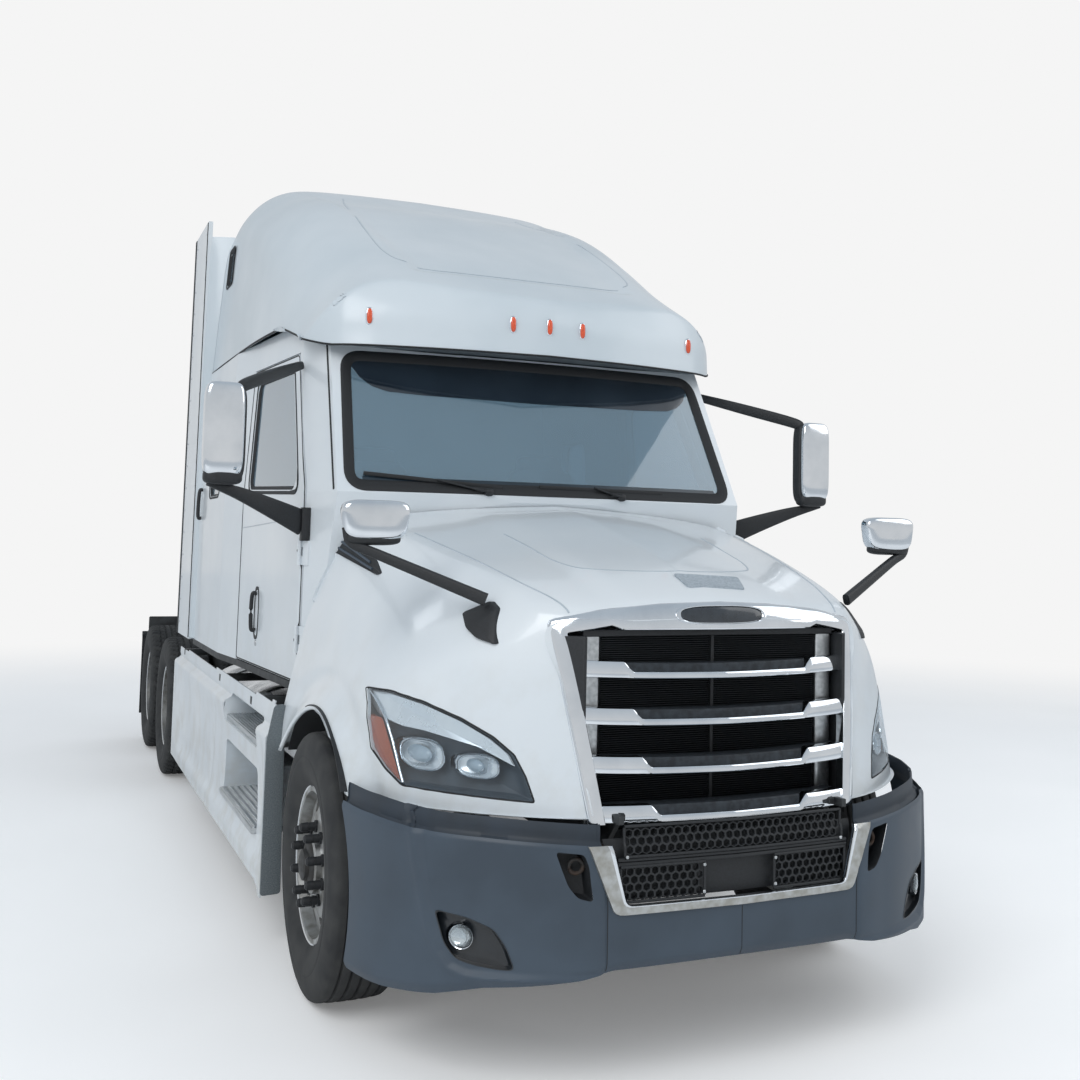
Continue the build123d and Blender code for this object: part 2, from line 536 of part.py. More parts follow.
# ================================================================ hood
# back, top, crease out, crease height, side out, side height, fender out, fender height
HOOD_SECTIONS = [
    (-1400, 1490, 540, 1450, 680, 1300, 1120, 1090),
    (-700, 1685, 690, 1640, 880, 1450, 1150, 1160),
    (0, 1850, 820, 1790, 1000, 1540, 1170, 1170),
    (700, 1975, 960, 1890, 1070, 1600, 1160, 1200)]
HOOD_SIDE = 1207
HOOD_PLAN_LEFT = [
    (520, -1232), (700, -1135), (1050, -830), (1150, -560), (HOOD_SIDE, -330), (HOOD_SIDE, 1000)]
HOOD_PLAN_NOSE = -1250
HOOD_RAKE = 8.5


def hood_body(inset):
    """The hood and fenders as a filled form, its faces moved in by an inset."""
    with BuildPart() as body:
        for section in HOOD_SECTIONS:
            back, top, crease, crease_height, shoulder, shoulder_height, fender, fender_height = section
            left = [(HOOD_SIDE - inset, 700), (HOOD_SIDE - inset, fender_height - 110),
                    (fender - inset, fender_height - inset / 2),
                    (shoulder - inset, shoulder_height - inset / 2),
                    (crease - inset / 2, crease_height - inset)]
            with BuildSketch(Plane.XZ.offset(-back)):
                with BuildLine():
                    Polyline((-left[0][0], 700), *left)
                    ThreePointArc(left[-1], (0, top - inset), (-left[-1][0], left[-1][1]))
                    Polyline(*[(-x, z) for x, z in reversed(left)])
                make_face()
        loft(ruled=True)
    with BuildPart() as plan:
        with BuildSketch(Plane.XY.offset(800)):
            with BuildLine():
                Polyline(*HOOD_PLAN_LEFT, *[(-x, y) for x, y in reversed(HOOD_PLAN_LEFT)])
                start = HOOD_PLAN_LEFT[0]
                ThreePointArc((-start[0], start[1]), (0, HOOD_PLAN_NOSE), start)
            make_face()
            if inset:
                offset(amount=-inset, kind=Kind.INTERSECTION)
        extrude(amount=1300, taper=HOOD_RAKE)
    edge = side_prism(HOOD_EDGE + [(AHEAD, HOOD_EDGE[-1][1]), (AHEAD, HOOD_EDGE[0][1])], ACROSS)
    return body.part & plan.part & edge


GRILLE_OUTER = [(516, 844), (612, 1488), (440, 1526), (220, 1548)]
GRILLE_INNER = [(456, 800), (552, 1447), (408, 1473), (372, 1460)]
HEADLAMP = [
    (668, 905), (1012, 918), (1073, 1000), (1077, 1116), (1066, 1216), (1021, 1221), (948, 1199), (854, 1155),
    (772, 1103), (718, 1050)]
LAMP_DEPTH = (-1400, -300)
LAMP_CORNER = 12
LAMP_GAUGE = 80
LINER_GAUGE = 12
LINER_OUT = (720, HOOD_SIDE - 15)
hood_outer = hood_body(0)
arch = pair(cross_rod(0, WHEEL_RADIUS, (700, 1400), ARCH_RADIUS))
above_bottom = block(ACROSS, (AHEAD, 1500), (HOOD_BOTTOM, 2300))
lamp_hole = pair(front_prism(HEADLAMP, LAMP_DEPTH, LAMP_CORNER))
grille_hole = front_prism(both_halves(GRILLE_OUTER), GRILLE_DEPTH)
liner = pair(cross_rod(0, WHEEL_RADIUS, LINER_OUT, ARCH_RADIUS + LINER_GAUGE)) - arch
hood = (hood_outer - hood_body(HOOD_SKIN) + (liner & hood_body(5))) & above_bottom
hood = hood - arch - lamp_hole - grille_hole
write("hood", hood)

with BuildPart() as lamp_outline:
    with BuildSketch(Plane.XZ.offset(-LAMP_DEPTH[1])):
        with BuildLine():
            FilletPolyline(*HEADLAMP, radius=LAMP_CORNER, close=True)
        make_face()
        offset(amount=-FIT)
    extrude(amount=LAMP_DEPTH[1] - LAMP_DEPTH[0])
write("headlamps", pair((hood_outer - hood_body(LAMP_GAUGE)) & lamp_outline.part))

# ================================================================ grille
# A chrome surround, open at the bottom, with four bars. Each bar is over twice as deep at its ends: the step
# down is a short slope, and the underside sags a little in the middle. The opening narrows downwards.
BAR_HEIGHTS = (844.3, 1000, 1155, 1308)     # undersides
BAR_MIDDLE, BAR_END, BAR_SAG = 22, 54, 8
BAR_STEP, BAR_SLOPE = 160, 31               # from the opening's edge to the step, and the step's run
BAR_ENDS = [(488, 844), (582, 1470), (300, 1500)]
grille_face = hood_body(-4) - hood_body(28)
surround = [(x - FIT, z - FIT if z > 1000 else z) for x, z in GRILLE_OUTER]
grille = front_prism(both_halves(surround), GRILLE_DEPTH)
grille -= front_prism(both_halves(GRILLE_INNER), GRILLE_DEPTH)
bar_limits = front_prism(both_halves(BAR_ENDS), GRILLE_DEPTH)
opening_low, opening_high = GRILLE_INNER[:2]
for low in BAR_HEIGHTS:
    share = (low - opening_low[1]) / (opening_high[1] - opening_low[1])
    step = opening_low[0] + share * (opening_high[0] - opening_low[0]) - BAR_STEP
    sag = BAR_SAG if low > BAR_HEIGHTS[0] else 0
    bar = [
        (120, low - sag), (600, low), (600, low + BAR_END), (step, low + BAR_END),
        (step - BAR_SLOPE, low + BAR_MIDDLE), (120, low + BAR_MIDDLE - sag)]
    grille += front_prism(both_halves(bar), GRILLE_DEPTH) & bar_limits
grille &= grille_face

# The lug on each side that the hood and its grille tilt on.
LUG_HALF = 14
HINGE_LUG_SHAPE = [
    (-1240, HINGE_HEIGHT - LUG_HALF), (HINGE_BACK + 4, HINGE_HEIGHT - LUG_HALF),
    (HINGE_BACK + 14, HINGE_HEIGHT), (HINGE_BACK + 4, HINGE_HEIGHT + LUG_HALF),
    (-1240, HINGE_HEIGHT + LUG_HALF)]
hinge_lug = side_prism(HINGE_LUG_SHAPE, HINGE_LUG) & hood_outer
hinge_lug -= cross_rod(HINGE_BACK, HINGE_HEIGHT, (300, 600), HINGE_PIN + RUNNING)
write("grille", grille + pair(hinge_lug))

HOOD_MIRROR_HEAD = [(990, 1725), (1225, 1725), (1225, 1890), (990, 1890)]
HOOD_MIRROR_ARMS = [((700, -900, 1440), (1090, -590, 1740)), ((1090, -590, 1735), (1180, -420, 1745))]
HOOD_MIRROR_ARM_RADIUS = 16
hood_mirror = front_prism(HOOD_MIRROR_HEAD, (-640, -560), 40)
for start, end in HOOD_MIRROR_ARMS:
    hood_mirror += rod(start, end, HOOD_MIRROR_ARM_RADIUS)
write("hood_mirrors", pair(hood_mirror - hood_outer))

# ================================================================ bumper
BUMPER_PLAN_LEFT = [
    (420, -1277), (560, -1262), (720, -1208), (1010, -1035), (1160, -740), (1210, -330), (1210, 0)]


def bumper_body(inset, z=(BUMPER_BOTTOM, BUMPER_TOP)):
    """The bumper as a filled form with an upright front, moved in by an inset."""
    with BuildPart() as body:
        with BuildSketch(Plane.XY.offset(z[0])):
            with BuildLine():
                Polyline(*BUMPER_PLAN_LEFT, *[(-x, y) for x, y in reversed(BUMPER_PLAN_LEFT)])
                start = BUMPER_PLAN_LEFT[0]
                ThreePointArc((-start[0], start[1]), (0, -FRONT_OVERHANG), start)
            make_face()
            if inset:
                offset(amount=-inset, kind=Kind.INTERSECTION)
        extrude(amount=z[1] - z[0])
    return body.part


NOTCH = [(416, 600), (479, 845)]
TRIM_OUTER = [(452, 571), (546, 790)]
TRIM_GAUGE = 6
# The bumper's lower edge climbs from the wheels to the middle.
LOWER_EDGE = [(1045, BUMPER_BOTTOM - 10), (1045, BUMPER_BOTTOM), (858, 345), (667, 364), (450, 396)]
TOW_SLOT = [(528, 618), (575, 630), (605, 667), (645, 775), (557, 765)]
FOG_POCKET = [(756, 407), (914, 430), (970, 574), (813, 530)]
BUMPER_ARM_OUT = (280, 340)
notch_prism = front_prism(both_halves(NOTCH), GRILLE_DEPTH)
trim_prism = front_prism(both_halves(TRIM_OUTER), GRILLE_DEPTH)
bumper_outer = bumper_body(0)
bumper = bumper_outer - bumper_body(BUMPER_SKIN)
bumper -= block(ACROSS, (-330, 100), (200, 900)) + cross_rod(0, WHEEL_RADIUS, (-1400, 1400), ARCH_RADIUS + 20)
bumper -= front_prism(both_halves(LOWER_EDGE), (-1400, -700))
bumper -= notch_prism + ((bumper_outer - bumper_body(TRIM_GAUGE + FIT)) & trim_prism)
bumper -= pair(front_prism(TOW_SLOT, (-1400, -900))) + pair(front_prism(FOG_POCKET, (-1400, -700)))
arm_back = FRONT_MEMBER["y"][0] - FIT
bumper += pair(block(BUMPER_ARM_OUT, (-1275, arm_back), (500, 560)) & bumper_body(5))
bumper += pair(block(BUMPER_ARM_OUT, (arm_back - 60, arm_back), (500, 785)))
write("bumper", bumper)
trim = (bumper_outer - bumper_body(TRIM_GAUGE)) & (trim_prism - notch_prism)
write("grille_trim", trim)

# The lower grille: a panel in the bumper's notch with a full-width band of six-sided holes, and a block of
# them on each side of a plain middle. Odd rows sit half a pitch across, so the holes nest.
HOLE_PITCH, HOLE_ROW = 38, 20
HOLE_WIDE, HOLE_HIGH = 31, 15
# left, right, bottom, top of each panel of holes
HOLE_PANELS = [(-436, 436, 755, 835), (-430, -140, 612, 714), (140, 430, 612, 714)]


def six_sided(x, z):
    """The outline of one flattened six-sided hole."""
    wide, high = HOLE_WIDE / 2, HOLE_HIGH / 2
    return [(x - wide, z), (x - wide / 2, z - high), (x + wide / 2, z - high), (x + wide, z),
            (x + wide / 2, z + high), (x - wide / 2, z + high)]


holes = []
for left, right, low, high in HOLE_PANELS:
    rows = int((high - low) / HOLE_ROW)
    columns = int((right - left) / HOLE_PITCH)
    for row in range(rows):
        shift = HOLE_PITCH / 4 if row % 2 else -HOLE_PITCH / 4
        for column in range(columns):
            x = (left + right) / 2 + (column - (columns - 1) / 2) * HOLE_PITCH + shift
            z = (low + high) / 2 + (row - (rows - 1) / 2) * HOLE_ROW
            holes += [front_prism(six_sided(x, z), GRILLE_DEPTH)]
INSERT_INSET, INSERT_GAUGE = 8, 12
INSERT_Z = (BUMPER_BOTTOM, 841)
insert = bumper_body(INSERT_INSET, INSERT_Z) - bumper_body(INSERT_INSET + INSERT_GAUGE, INSERT_Z)
insert &= front_prism(both_halves([(x - 1, z + FIT) for x, z in NOTCH]), GRILLE_DEPTH)
insert -= holes
# A plain plate closes each towing eye's slot from behind.
backing = bumper_body(BUMPER_SKIN + FIT) - bumper_body(BUMPER_SKIN + FIT + INSERT_GAUGE)
insert += pair(backing & front_prism([(525, 610), (606, 610), (655, 786), (557, 782)], (-1400, -900)))
write("bumper_grille", insert)

# Fog lamps: a round lamp on a plate behind each pocket in the bumper.
FOG_PLATE = [(735, 390), (932, 412), (992, 594), (795, 550)]
FOG_FRONT, FOG_REAR = (890, -1098, 494), (873, -1069, 494)
FOG_RADIUS = 38
fog_lamp = (backing & front_prism(FOG_PLATE, (-1400, -700))) + rod(FOG_FRONT, FOG_REAR, FOG_RADIUS)
write("fog_lamps", pair(fog_lamp))

# ================================================================ fairings, steps, extenders
FAIRING_OUT = (1215, 1240)
FAIRING_END = TYRES_START - 163
FAIRING = [
    (663, 1045), (663, 848), (604, 848), (604, 215), (700, 215), (760, 270), (FAIRING_END - 50, 262),
    (FAIRING_END, 330), (FAIRING_END, 960), (FAIRING_END - 90, 1000), (1000, 1022)]
FAIRING_ARMS = {"backs": (1250, 2300, FAIRING_END - 330), "half": 25, "z": (955, 995)}
STEP_SIDES = (860, 1930)
STEP_HEIGHTS = [(425, 720), (800, 950)]
fairing = side_prism(FAIRING, FAIRING_OUT)
for low, high in STEP_HEIGHTS:
    fairing -= block((1100, 1300), STEP_SIDES, (low, high))
for back in FAIRING_ARMS["backs"]:
    arm_y = (back - FAIRING_ARMS["half"], back + FAIRING_ARMS["half"])
    fairing += block((RAIL_OUTER + FIT, FAIRING_OUT[0]), arm_y, FAIRING_ARMS["z"])
write("side_fairings", pair(fairing))
STEP_GAUGE = 30
steps = Part()
for low, high in STEP_HEIGHTS:
    tread = (STEP_SIDES[0] + FIT, STEP_SIDES[1] - FIT)
    steps += block((1000, FAIRING_OUT[1] - 2), tread, (low + FIT, low + STEP_GAUGE))
write("cab_steps", pair(steps))

EXTENDER_BACKS = (CAB_BACK + 5, CAB_BACK + 660)
EXTENDER_SHAPE = [(1212, 1100), (1240, 1100), (1226, 3800), (1198, 3800)]
EXTENDER_BRACKETS = (1500, 2300, 3100)
extender = front_prism(EXTENDER_SHAPE, EXTENDER_BACKS)
for height in EXTENDER_BRACKETS:
    extender += block((1100, 1215), (CAB_BACK + FIT, CAB_BACK + 60), (height - 40, height + 40))
write("side_extenders", pair(extender))

# The deck plate fills the middle of the gap between the cab and the drive tyres, on top of the rails.
deck_gap = DRIVE_BACKS["front"] - CAB_BACK
deck_ends = (CAB_BACK + 0.073 * deck_gap, CAB_BACK + 0.592 * deck_gap)
write("deck_plate", block((-640, 640), deck_ends, (FRAME_TOP + FIT, FRAME_TOP + 22)))

FLAP_BACK = REAR_END - 180
FLAP_OUT = (640, 1230)
FLAP_GAUGE = 12
flap = block(FLAP_OUT, (FLAP_BACK, FLAP_BACK + FLAP_GAUGE), (200, 880))
hanger_back = FLAP_BACK + FLAP_GAUGE / 2
flap += rod((RAIL_OUTER + FIT, hanger_back, 885), (FLAP_OUT[1], hanger_back, 885), 27)
write("mud_flaps", pair(flap))

# ================================================================ fifth wheel
base = pair(block((350, RAIL_OUTER), (FIFTH_BACK - 480, FIFTH_BACK + 480), (FRAME_TOP + FIT, FRAME_TOP + 22)))
BRACKET_SHAPE = [
    (-110, FRAME_TOP + 5), (110, FRAME_TOP + 5), (30, FIFTH_PIVOT), (15, FIFTH_PIVOT + 26),
    (-15, FIFTH_PIVOT + 26), (-30, FIFTH_PIVOT)]
FIFTH_PIN = 20
bracket = side_prism(BRACKET_SHAPE, (366, 396)) + cross_rod(0, FIFTH_PIVOT, (300, 396), FIFTH_PIN)
base += pair(Location((0, FIFTH_BACK, 0)) * bracket)
write("fifth_wheel_base", base)

PLATE = [(457, -60), (457, 160), (260, 430), (150, 430), (COUPLER_SLOT / 2, 120), (COUPLER_SLOT / 2, 0)]
PLATE_GAUGE = 50
with BuildPart() as fifth_plate:
    with BuildSketch(Plane.XY.offset(FIFTH_TOP - PLATE_GAUGE)):
        with BuildLine():
            Polyline(*PLATE)
            ThreePointArc(PLATE[-1], (0, -COUPLER_SLOT / 2), (-PLATE[-1][0], PLATE[-1][1]))
            Polyline(*[(-x, y) for x, y in reversed(PLATE)])
            Polyline((-457, -60), (-330, -430), (330, -430), (457, -60))
        make_face()
    extrude(amount=PLATE_GAUGE)
LUG_SHAPE = [
    (-45, FIFTH_TOP - 48), (-45, FIFTH_PIVOT - 10), (-20, FIFTH_PIVOT - 40), (20, FIFTH_PIVOT - 40),
    (45, FIFTH_PIVOT - 10), (45, FIFTH_TOP - 48)]
coupler = fifth_plate.part + pair(side_prism(LUG_SHAPE, (322, 358)))
coupler -= pair(cross_rod(0, FIFTH_PIVOT, (280, 380), FIFTH_PIN + RUNNING))
write("fifth_wheel", Location((0, FIFTH_BACK, 0)) * coupler)
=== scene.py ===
"""A conventional-cab semi truck tractor unit with a raised-roof sleeper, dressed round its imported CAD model.

Sizes are millimetres measured from the ground under the front axle: x across (+x is the vehicle's left), y back
from the axle, z up. place() turns them into the model's own frame, in metres.
"""
from math import radians

import bmesh
import bpy
import numpy as np
from mathutils import Matrix, Vector
from mathutils.bvhtree import BVHTree


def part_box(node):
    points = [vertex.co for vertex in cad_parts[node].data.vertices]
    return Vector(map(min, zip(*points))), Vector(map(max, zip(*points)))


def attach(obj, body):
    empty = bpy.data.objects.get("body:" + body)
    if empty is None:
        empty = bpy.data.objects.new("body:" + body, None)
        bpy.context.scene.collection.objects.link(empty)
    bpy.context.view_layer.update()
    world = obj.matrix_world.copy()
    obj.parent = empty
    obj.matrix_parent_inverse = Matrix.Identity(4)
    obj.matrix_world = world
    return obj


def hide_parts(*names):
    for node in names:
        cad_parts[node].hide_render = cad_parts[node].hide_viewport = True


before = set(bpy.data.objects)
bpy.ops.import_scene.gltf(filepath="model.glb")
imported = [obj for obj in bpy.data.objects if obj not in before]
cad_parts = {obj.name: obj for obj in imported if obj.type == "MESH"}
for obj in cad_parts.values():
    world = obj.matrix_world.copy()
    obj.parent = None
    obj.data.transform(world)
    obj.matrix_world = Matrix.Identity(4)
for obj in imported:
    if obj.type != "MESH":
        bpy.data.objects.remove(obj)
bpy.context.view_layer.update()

# ================================================================ camera
# A full-frame camera at eye height off the truck's right front corner, a little below the middle of the cab and
# turned 25 degrees across the truck.
EYE = Vector((-2.216, -7.798, 1.742))
YAW, PITCH, ROLL = radians(24.707), radians(4.153), radians(1.160)
forward = Vector((np.sin(YAW) * np.cos(PITCH), np.cos(YAW) * np.cos(PITCH), np.sin(PITCH)))
level_right = forward.cross(Vector((0, 0, 1))).normalized()
level_up = level_right.cross(forward)
right = level_right * np.cos(ROLL) + level_up * np.sin(ROLL)
up = level_up * np.cos(ROLL) - level_right * np.sin(ROLL)
camera = bpy.data.objects.new("camera", bpy.data.cameras.new("camera"))
camera.data.lens, camera.data.sensor_width = 41.70, 36
camera.data.shift_x, camera.data.shift_y = -0.0588, -0.0786
camera.data.clip_end = 200
camera.matrix_world = Matrix.Translation(EYE) @ Matrix((right, up, -forward)).transposed().to_4x4()
bpy.context.scene.collection.objects.link(camera)
bpy.context.scene.camera = camera
bpy.context.scene.view_settings.view_transform = "Standard"


# ================================================================ floor, sky and lamps
# A pale swept concrete floor under an overcast sky, cool overhead and white at the horizon, with one broad soft
# lamp high on the camera's side.
def colour(value):
    """An sRGB hex colour as linear RGBA: c / 12.92 up to 0.04045, and ((c + 0.055) / 1.055) ** 2.4 above it."""
    c = np.array([int(value[i:i + 2], 16) for i in (1, 3, 5)]) / 255
    return (*np.where(c <= 0.04045, c / 12.92, ((c + 0.055) / 1.055) ** 2.4), 1.0)


def add(tree, kind, inputs=(), **settings):
    """Adds one shader node with its settings. An input takes a value, or another node's output to link."""
    made = tree.nodes.new(kind)
    for key, value in settings.items():
        setattr(made, key, value)
    for key, value in dict(inputs).items():
        if isinstance(value, bpy.types.NodeSocket):
            tree.links.new(value, made.inputs[key])
        else:
            made.inputs[key].default_value = value
    return made


BACKDROP = colour("#F5F5F5")
world = bpy.data.worlds.new("overcast_sky")
world.use_nodes = True
sky = world.node_tree
sky.nodes.clear()
ray = add(sky, "ShaderNodeLightPath")
direction = add(sky, "ShaderNodeSeparateXYZ", {0: add(sky, "ShaderNodeTexCoord").outputs["Generated"]})
height = add(sky, "ShaderNodeMapRange", {"Value": direction.outputs["Z"], "From Min": 0.0, "From Max": 0.9})
cool = add(sky, "ShaderNodeMix", {0: height.outputs[0], 6: colour("#F7F8F9"), 7: colour("#D0DAE4")}, data_type="RGBA")
lit = add(sky, "ShaderNodeBackground", {"Color": cool.outputs[2], "Strength": 0.76})
seen = add(sky, "ShaderNodeBackground", {"Color": BACKDROP, "Strength": 1.0})
direct = add(sky, "ShaderNodeMath", {0: ray.outputs["Is Camera Ray"], 1: ray.outputs["Is Transmission Ray"]},
             operation="MAXIMUM")
shown = add(sky, "ShaderNodeMixShader", {0: direct.outputs[0], 1: lit.outputs[0], 2: seen.outputs[0]})
add(sky, "ShaderNodeOutputWorld", {0: shown.outputs[0]})
bpy.context.scene.world = world

for name, at, size, power in (("key_lamp", (-7.5, -9.5, 9.0), 7.0, 620), ("fill_lamp", (7.0, -6.0, 6.5), 6.0, 160)):
    lamp = bpy.data.objects.new(name, bpy.data.lights.new(name, "AREA"))
    lamp.data.size, lamp.data.energy = size, power
    lamp.location = at
    lamp.rotation_euler = (Vector((0, -1.5, 1.6)) - Vector(at)).to_track_quat("-Z", "Y").to_euler()
    bpy.context.scene.collection.objects.link(lamp)

FLOOR = 60.0
floor_mesh = bpy.data.meshes.new("floor")
floor_corners = [(-FLOOR, -FLOOR, 0), (FLOOR, -FLOOR, 0), (FLOOR, FLOOR, 0), (-FLOOR, FLOOR, 0)]
floor_mesh.from_pydata(floor_corners, [], [(0, 1, 2, 3)])
floor = bpy.data.objects.new("floor", floor_mesh)
bpy.context.scene.collection.objects.link(floor)
concrete = bpy.data.materials.new("swept_concrete")
concrete.use_nodes = True
tree = concrete.node_tree
tree.nodes.clear()
spot = add(tree, "ShaderNodeTexCoord").outputs["Object"]
mottle = add(tree, "ShaderNodeTexNoise", {"Vector": spot, "Scale": 0.9, "Detail": 5.0})
grey = add(tree, "ShaderNodeMix", {0: mottle.outputs["Fac"], 6: colour("#F1F2F2"), 7: colour("#FCFCFC")},
           data_type="RGBA")
matt = add(tree, "ShaderNodeBsdfPrincipled",
           {"Base Color": grey.outputs[2], "Roughness": 0.85, "Specular IOR Level": 0.2})
bright = add(tree, "ShaderNodeEmission", {"Color": BACKDROP, "Strength": 0.16})
glowing = add(tree, "ShaderNodeAddShader", {0: matt.outputs[0], 1: bright.outputs[0]})
# Away from the truck the floor fades into the backdrop.
far = add(tree, "ShaderNodeVectorMath", {0: spot}, operation="LENGTH")
fade = add(tree, "ShaderNodeMapRange", {"Value": far.outputs["Value"], "From Min": 6.0, "From Max": 15.0},
           interpolation_type="SMOOTHSTEP")
backdrop = add(tree, "ShaderNodeEmission", {"Color": BACKDROP, "Strength": 1.0})
faded = add(tree, "ShaderNodeMixShader", {0: fade.outputs[0], 1: glowing.outputs[0], 2: backdrop.outputs[0]})
ray = add(tree, "ShaderNodeLightPath")
plain = add(tree, "ShaderNodeMixShader", {0: ray.outputs["Is Camera Ray"], 1: matt.outputs[0], 2: faded.outputs[0]})
add(tree, "ShaderNodeOutputMaterial", {0: plain.outputs[0]})
floor_mesh.materials.append(concrete)

# ================================================================ finishes of the carried-over CAD pieces
# Every bare CAD node gets the finish of the real piece: painted steel, cast iron, polished aluminium, moulded
# plastic, rubber, glass. Each has mottling, wear or grain at the size the real finish has it.
AXLE = (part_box("front_rim_left")[0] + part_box("front_rim_left")[1]).y / 2


def finish(name, base, other, grain_mm, rough, metallic=0.0, bump_mm=0.0, spread=(0.35, 0.65), detail=5.0,
           rough_other=None, stretch=(1, 1, 1), **sockets):
    """A Principled finish. Noise of the grain's size in millimetres mixes two colours between the two limits of
    spread, moves the roughness between its two values, and raises a bump of the depth given."""
    made = bpy.data.materials.new(name)
    made.use_nodes = True
    tree = made.node_tree
    shader = tree.nodes["Principled BSDF"]
    shader.inputs["Metallic"].default_value = metallic
    for key, value in sockets.items():
        shader.inputs[key.replace("_", " ")].default_value = value
    spot = add(tree, "ShaderNodeTexCoord").outputs["Object"]
    mapped = add(tree, "ShaderNodeMapping", {"Vector": spot, "Scale": stretch})
    noise = add(tree, "ShaderNodeTexNoise", {"Vector": mapped.outputs[0], "Scale": 1000 / grain_mm, "Detail": detail})
    limits = {"Value": noise.outputs["Fac"], "From Min": spread[0], "From Max": spread[1]}
    share = add(tree, "ShaderNodeMapRange", limits)
    mixed = add(tree, "ShaderNodeMix", {0: share.outputs[0], 6: colour(base), 7: colour(other)}, data_type="RGBA")
    tree.links.new(mixed.outputs[2], shader.inputs["Base Color"])
    gloss = add(tree, "ShaderNodeMapRange",
                limits | {"To Min": rough, "To Max": rough if rough_other is None else rough_other})
    tree.links.new(gloss.outputs[0], shader.inputs["Roughness"])
    if bump_mm:
        relief = add(tree, "ShaderNodeBump",
                     {"Height": noise.outputs["Fac"], "Distance": bump_mm / 1000, "Strength": 1.0})
        tree.links.new(relief.outputs[0], shader.inputs["Normal"])
    return made


# Sprayed white polyester paint, clear-coated: glossy, with the faintest orange peel and a dusty lower half.
body_paint = finish("sprayed_white_paint", "#D8DEE2", "#CDD5DB", 700, 0.28, rough_other=0.36, detail=3.0,
                    Coat_Weight=0.5, Coat_Roughness=0.08)
tree = body_paint.node_tree
shader = tree.nodes["Principled BSDF"]
spot = add(tree, "ShaderNodeTexCoord").outputs["Object"]
level = add(tree, "ShaderNodeSeparateXYZ", {0: spot}).outputs["Z"]
low = add(tree, "ShaderNodeMapRange", {"Value": level, "From Min": 1.5, "From Max": 0.25, "To Max": 0.75})
spatter = add(tree, "ShaderNodeTexNoise", {"Vector": spot, "Scale": 5.0, "Detail": 9.0, "Roughness": 0.62})
patch = add(tree, "ShaderNodeMapRange", {"Value": spatter.outputs["Fac"], "From Min": 0.46, "From Max": 0.72})
dust = add(tree, "ShaderNodeMath", {0: low.outputs[0], 1: patch.outputs[0]}, operation="MULTIPLY")
clean = shader.inputs["Base Color"].links[0].from_socket
dusty = add(tree, "ShaderNodeMix", {0: dust.outputs[0], 6: clean, 7: colour("#B4B2A8")}, data_type="RGBA")
tree.links.new(dusty.outputs[2], shader.inputs["Base Color"])

# Black chassis enamel over pressed steel, satin and dusty.
chassis_paint = finish("satin_chassis_enamel", "#1E2022", "#35383A", 60, 0.48, rough_other=0.68, bump_mm=0.3)
# Rough-cast iron, painted and rusting where it is bare.
cast_iron = finish("cast_iron_rusted", "#2A2A2A", "#4A3A30", 45, 0.62, 0.3, rough_other=0.85, bump_mm=1.2)
# Polished forged aluminium, turned and buffed: bright, with a faint haze.
polished = finish("polished_forged_aluminium", "#DADCDE", "#C3C6C9", 120, 0.13, 1.0, rough_other=0.24, bump_mm=0.05)
# The same after years of road dirt: dull, with brown-grey film.
rim_metal = finish("road_worn_forged_aluminium", "#AEB0B0", "#84837F", 60, 0.34, 0.85, rough_other=0.6, detail=9.0)
# Plain brushed aluminium sheet.
brushed = finish("brushed_aluminium_sheet", "#C9CCCE", "#AEB2B4", 16, 0.3, 1.0, rough_other=0.42, bump_mm=0.05,
                 stretch=(1, 0.06, 1))
# Chromed ABS moulding: a mirror with slight moulding ripple.
chrome = finish("chromed_abs_moulding", "#E6EAEE", "#D8DDE2", 140, 0.07, 1.0, rough_other=0.13, bump_mm=0.06)
# Textured black polypropylene.
black_plastic = finish("textured_black_polypropylene", "#17191B", "#23262A", 6, 0.5, rough_other=0.6, bump_mm=0.12)
# Slate-grey moulded-in-colour bumper thermoplastic, scuffed and faded lighter in places.
slate_plastic = finish("slate_moulded_thermoplastic", "#333F4B", "#3E4B58", 260, 0.42, rough_other=0.56, detail=9.0)
# EPDM rubber seal.
seal_rubber = finish("epdm_rubber_seal", "#15171A", "#212427", 9, 0.62, rough_other=0.75, bump_mm=0.1)
# Vulcanised tyre rubber with road dust in its texture.
tyre_rubber = finish("vulcanised_tyre_rubber", "#222426", "#3A3B3B", 90, 0.78, rough_other=0.92, bump_mm=0.4)
# Cabin trim: vinyl-grained polypropylene, warm grey.
cabin_plastic = finish("grained_cabin_polypropylene", "#5A5E61", "#6A6E70", 3, 0.6, rough_other=0.7, bump_mm=0.15)
# Galvanised steel plate smeared with black grease.
greased_steel = finish("greased_steel_plate", "#2B2B2A", "#55534E", 130, 0.3, 0.7, rough_other=0.6, bump_mm=0.4)
# Radiator core: dark anodised fins.
fin_black = finish("dark_anodised_fins", "#14171A", "#22272B", 25, 0.5, 0.4, rough_other=0.65)

# Laminated windscreen glass, tinted blue-grey, and toughened side glass.
glass = finish("tinted_laminated_glass", "#93B2C4", "#86A5B8", 1400, 0.02, IOR=1.5, Transmission_Weight=0.62,
               Coat_Weight=1.0, Coat_Roughness=0.02)
clear_glass = finish("clear_toughened_glass", "#DCE6EA", "#D2DDE2", 1400, 0.01, IOR=1.45, Transmission_Weight=0.93)

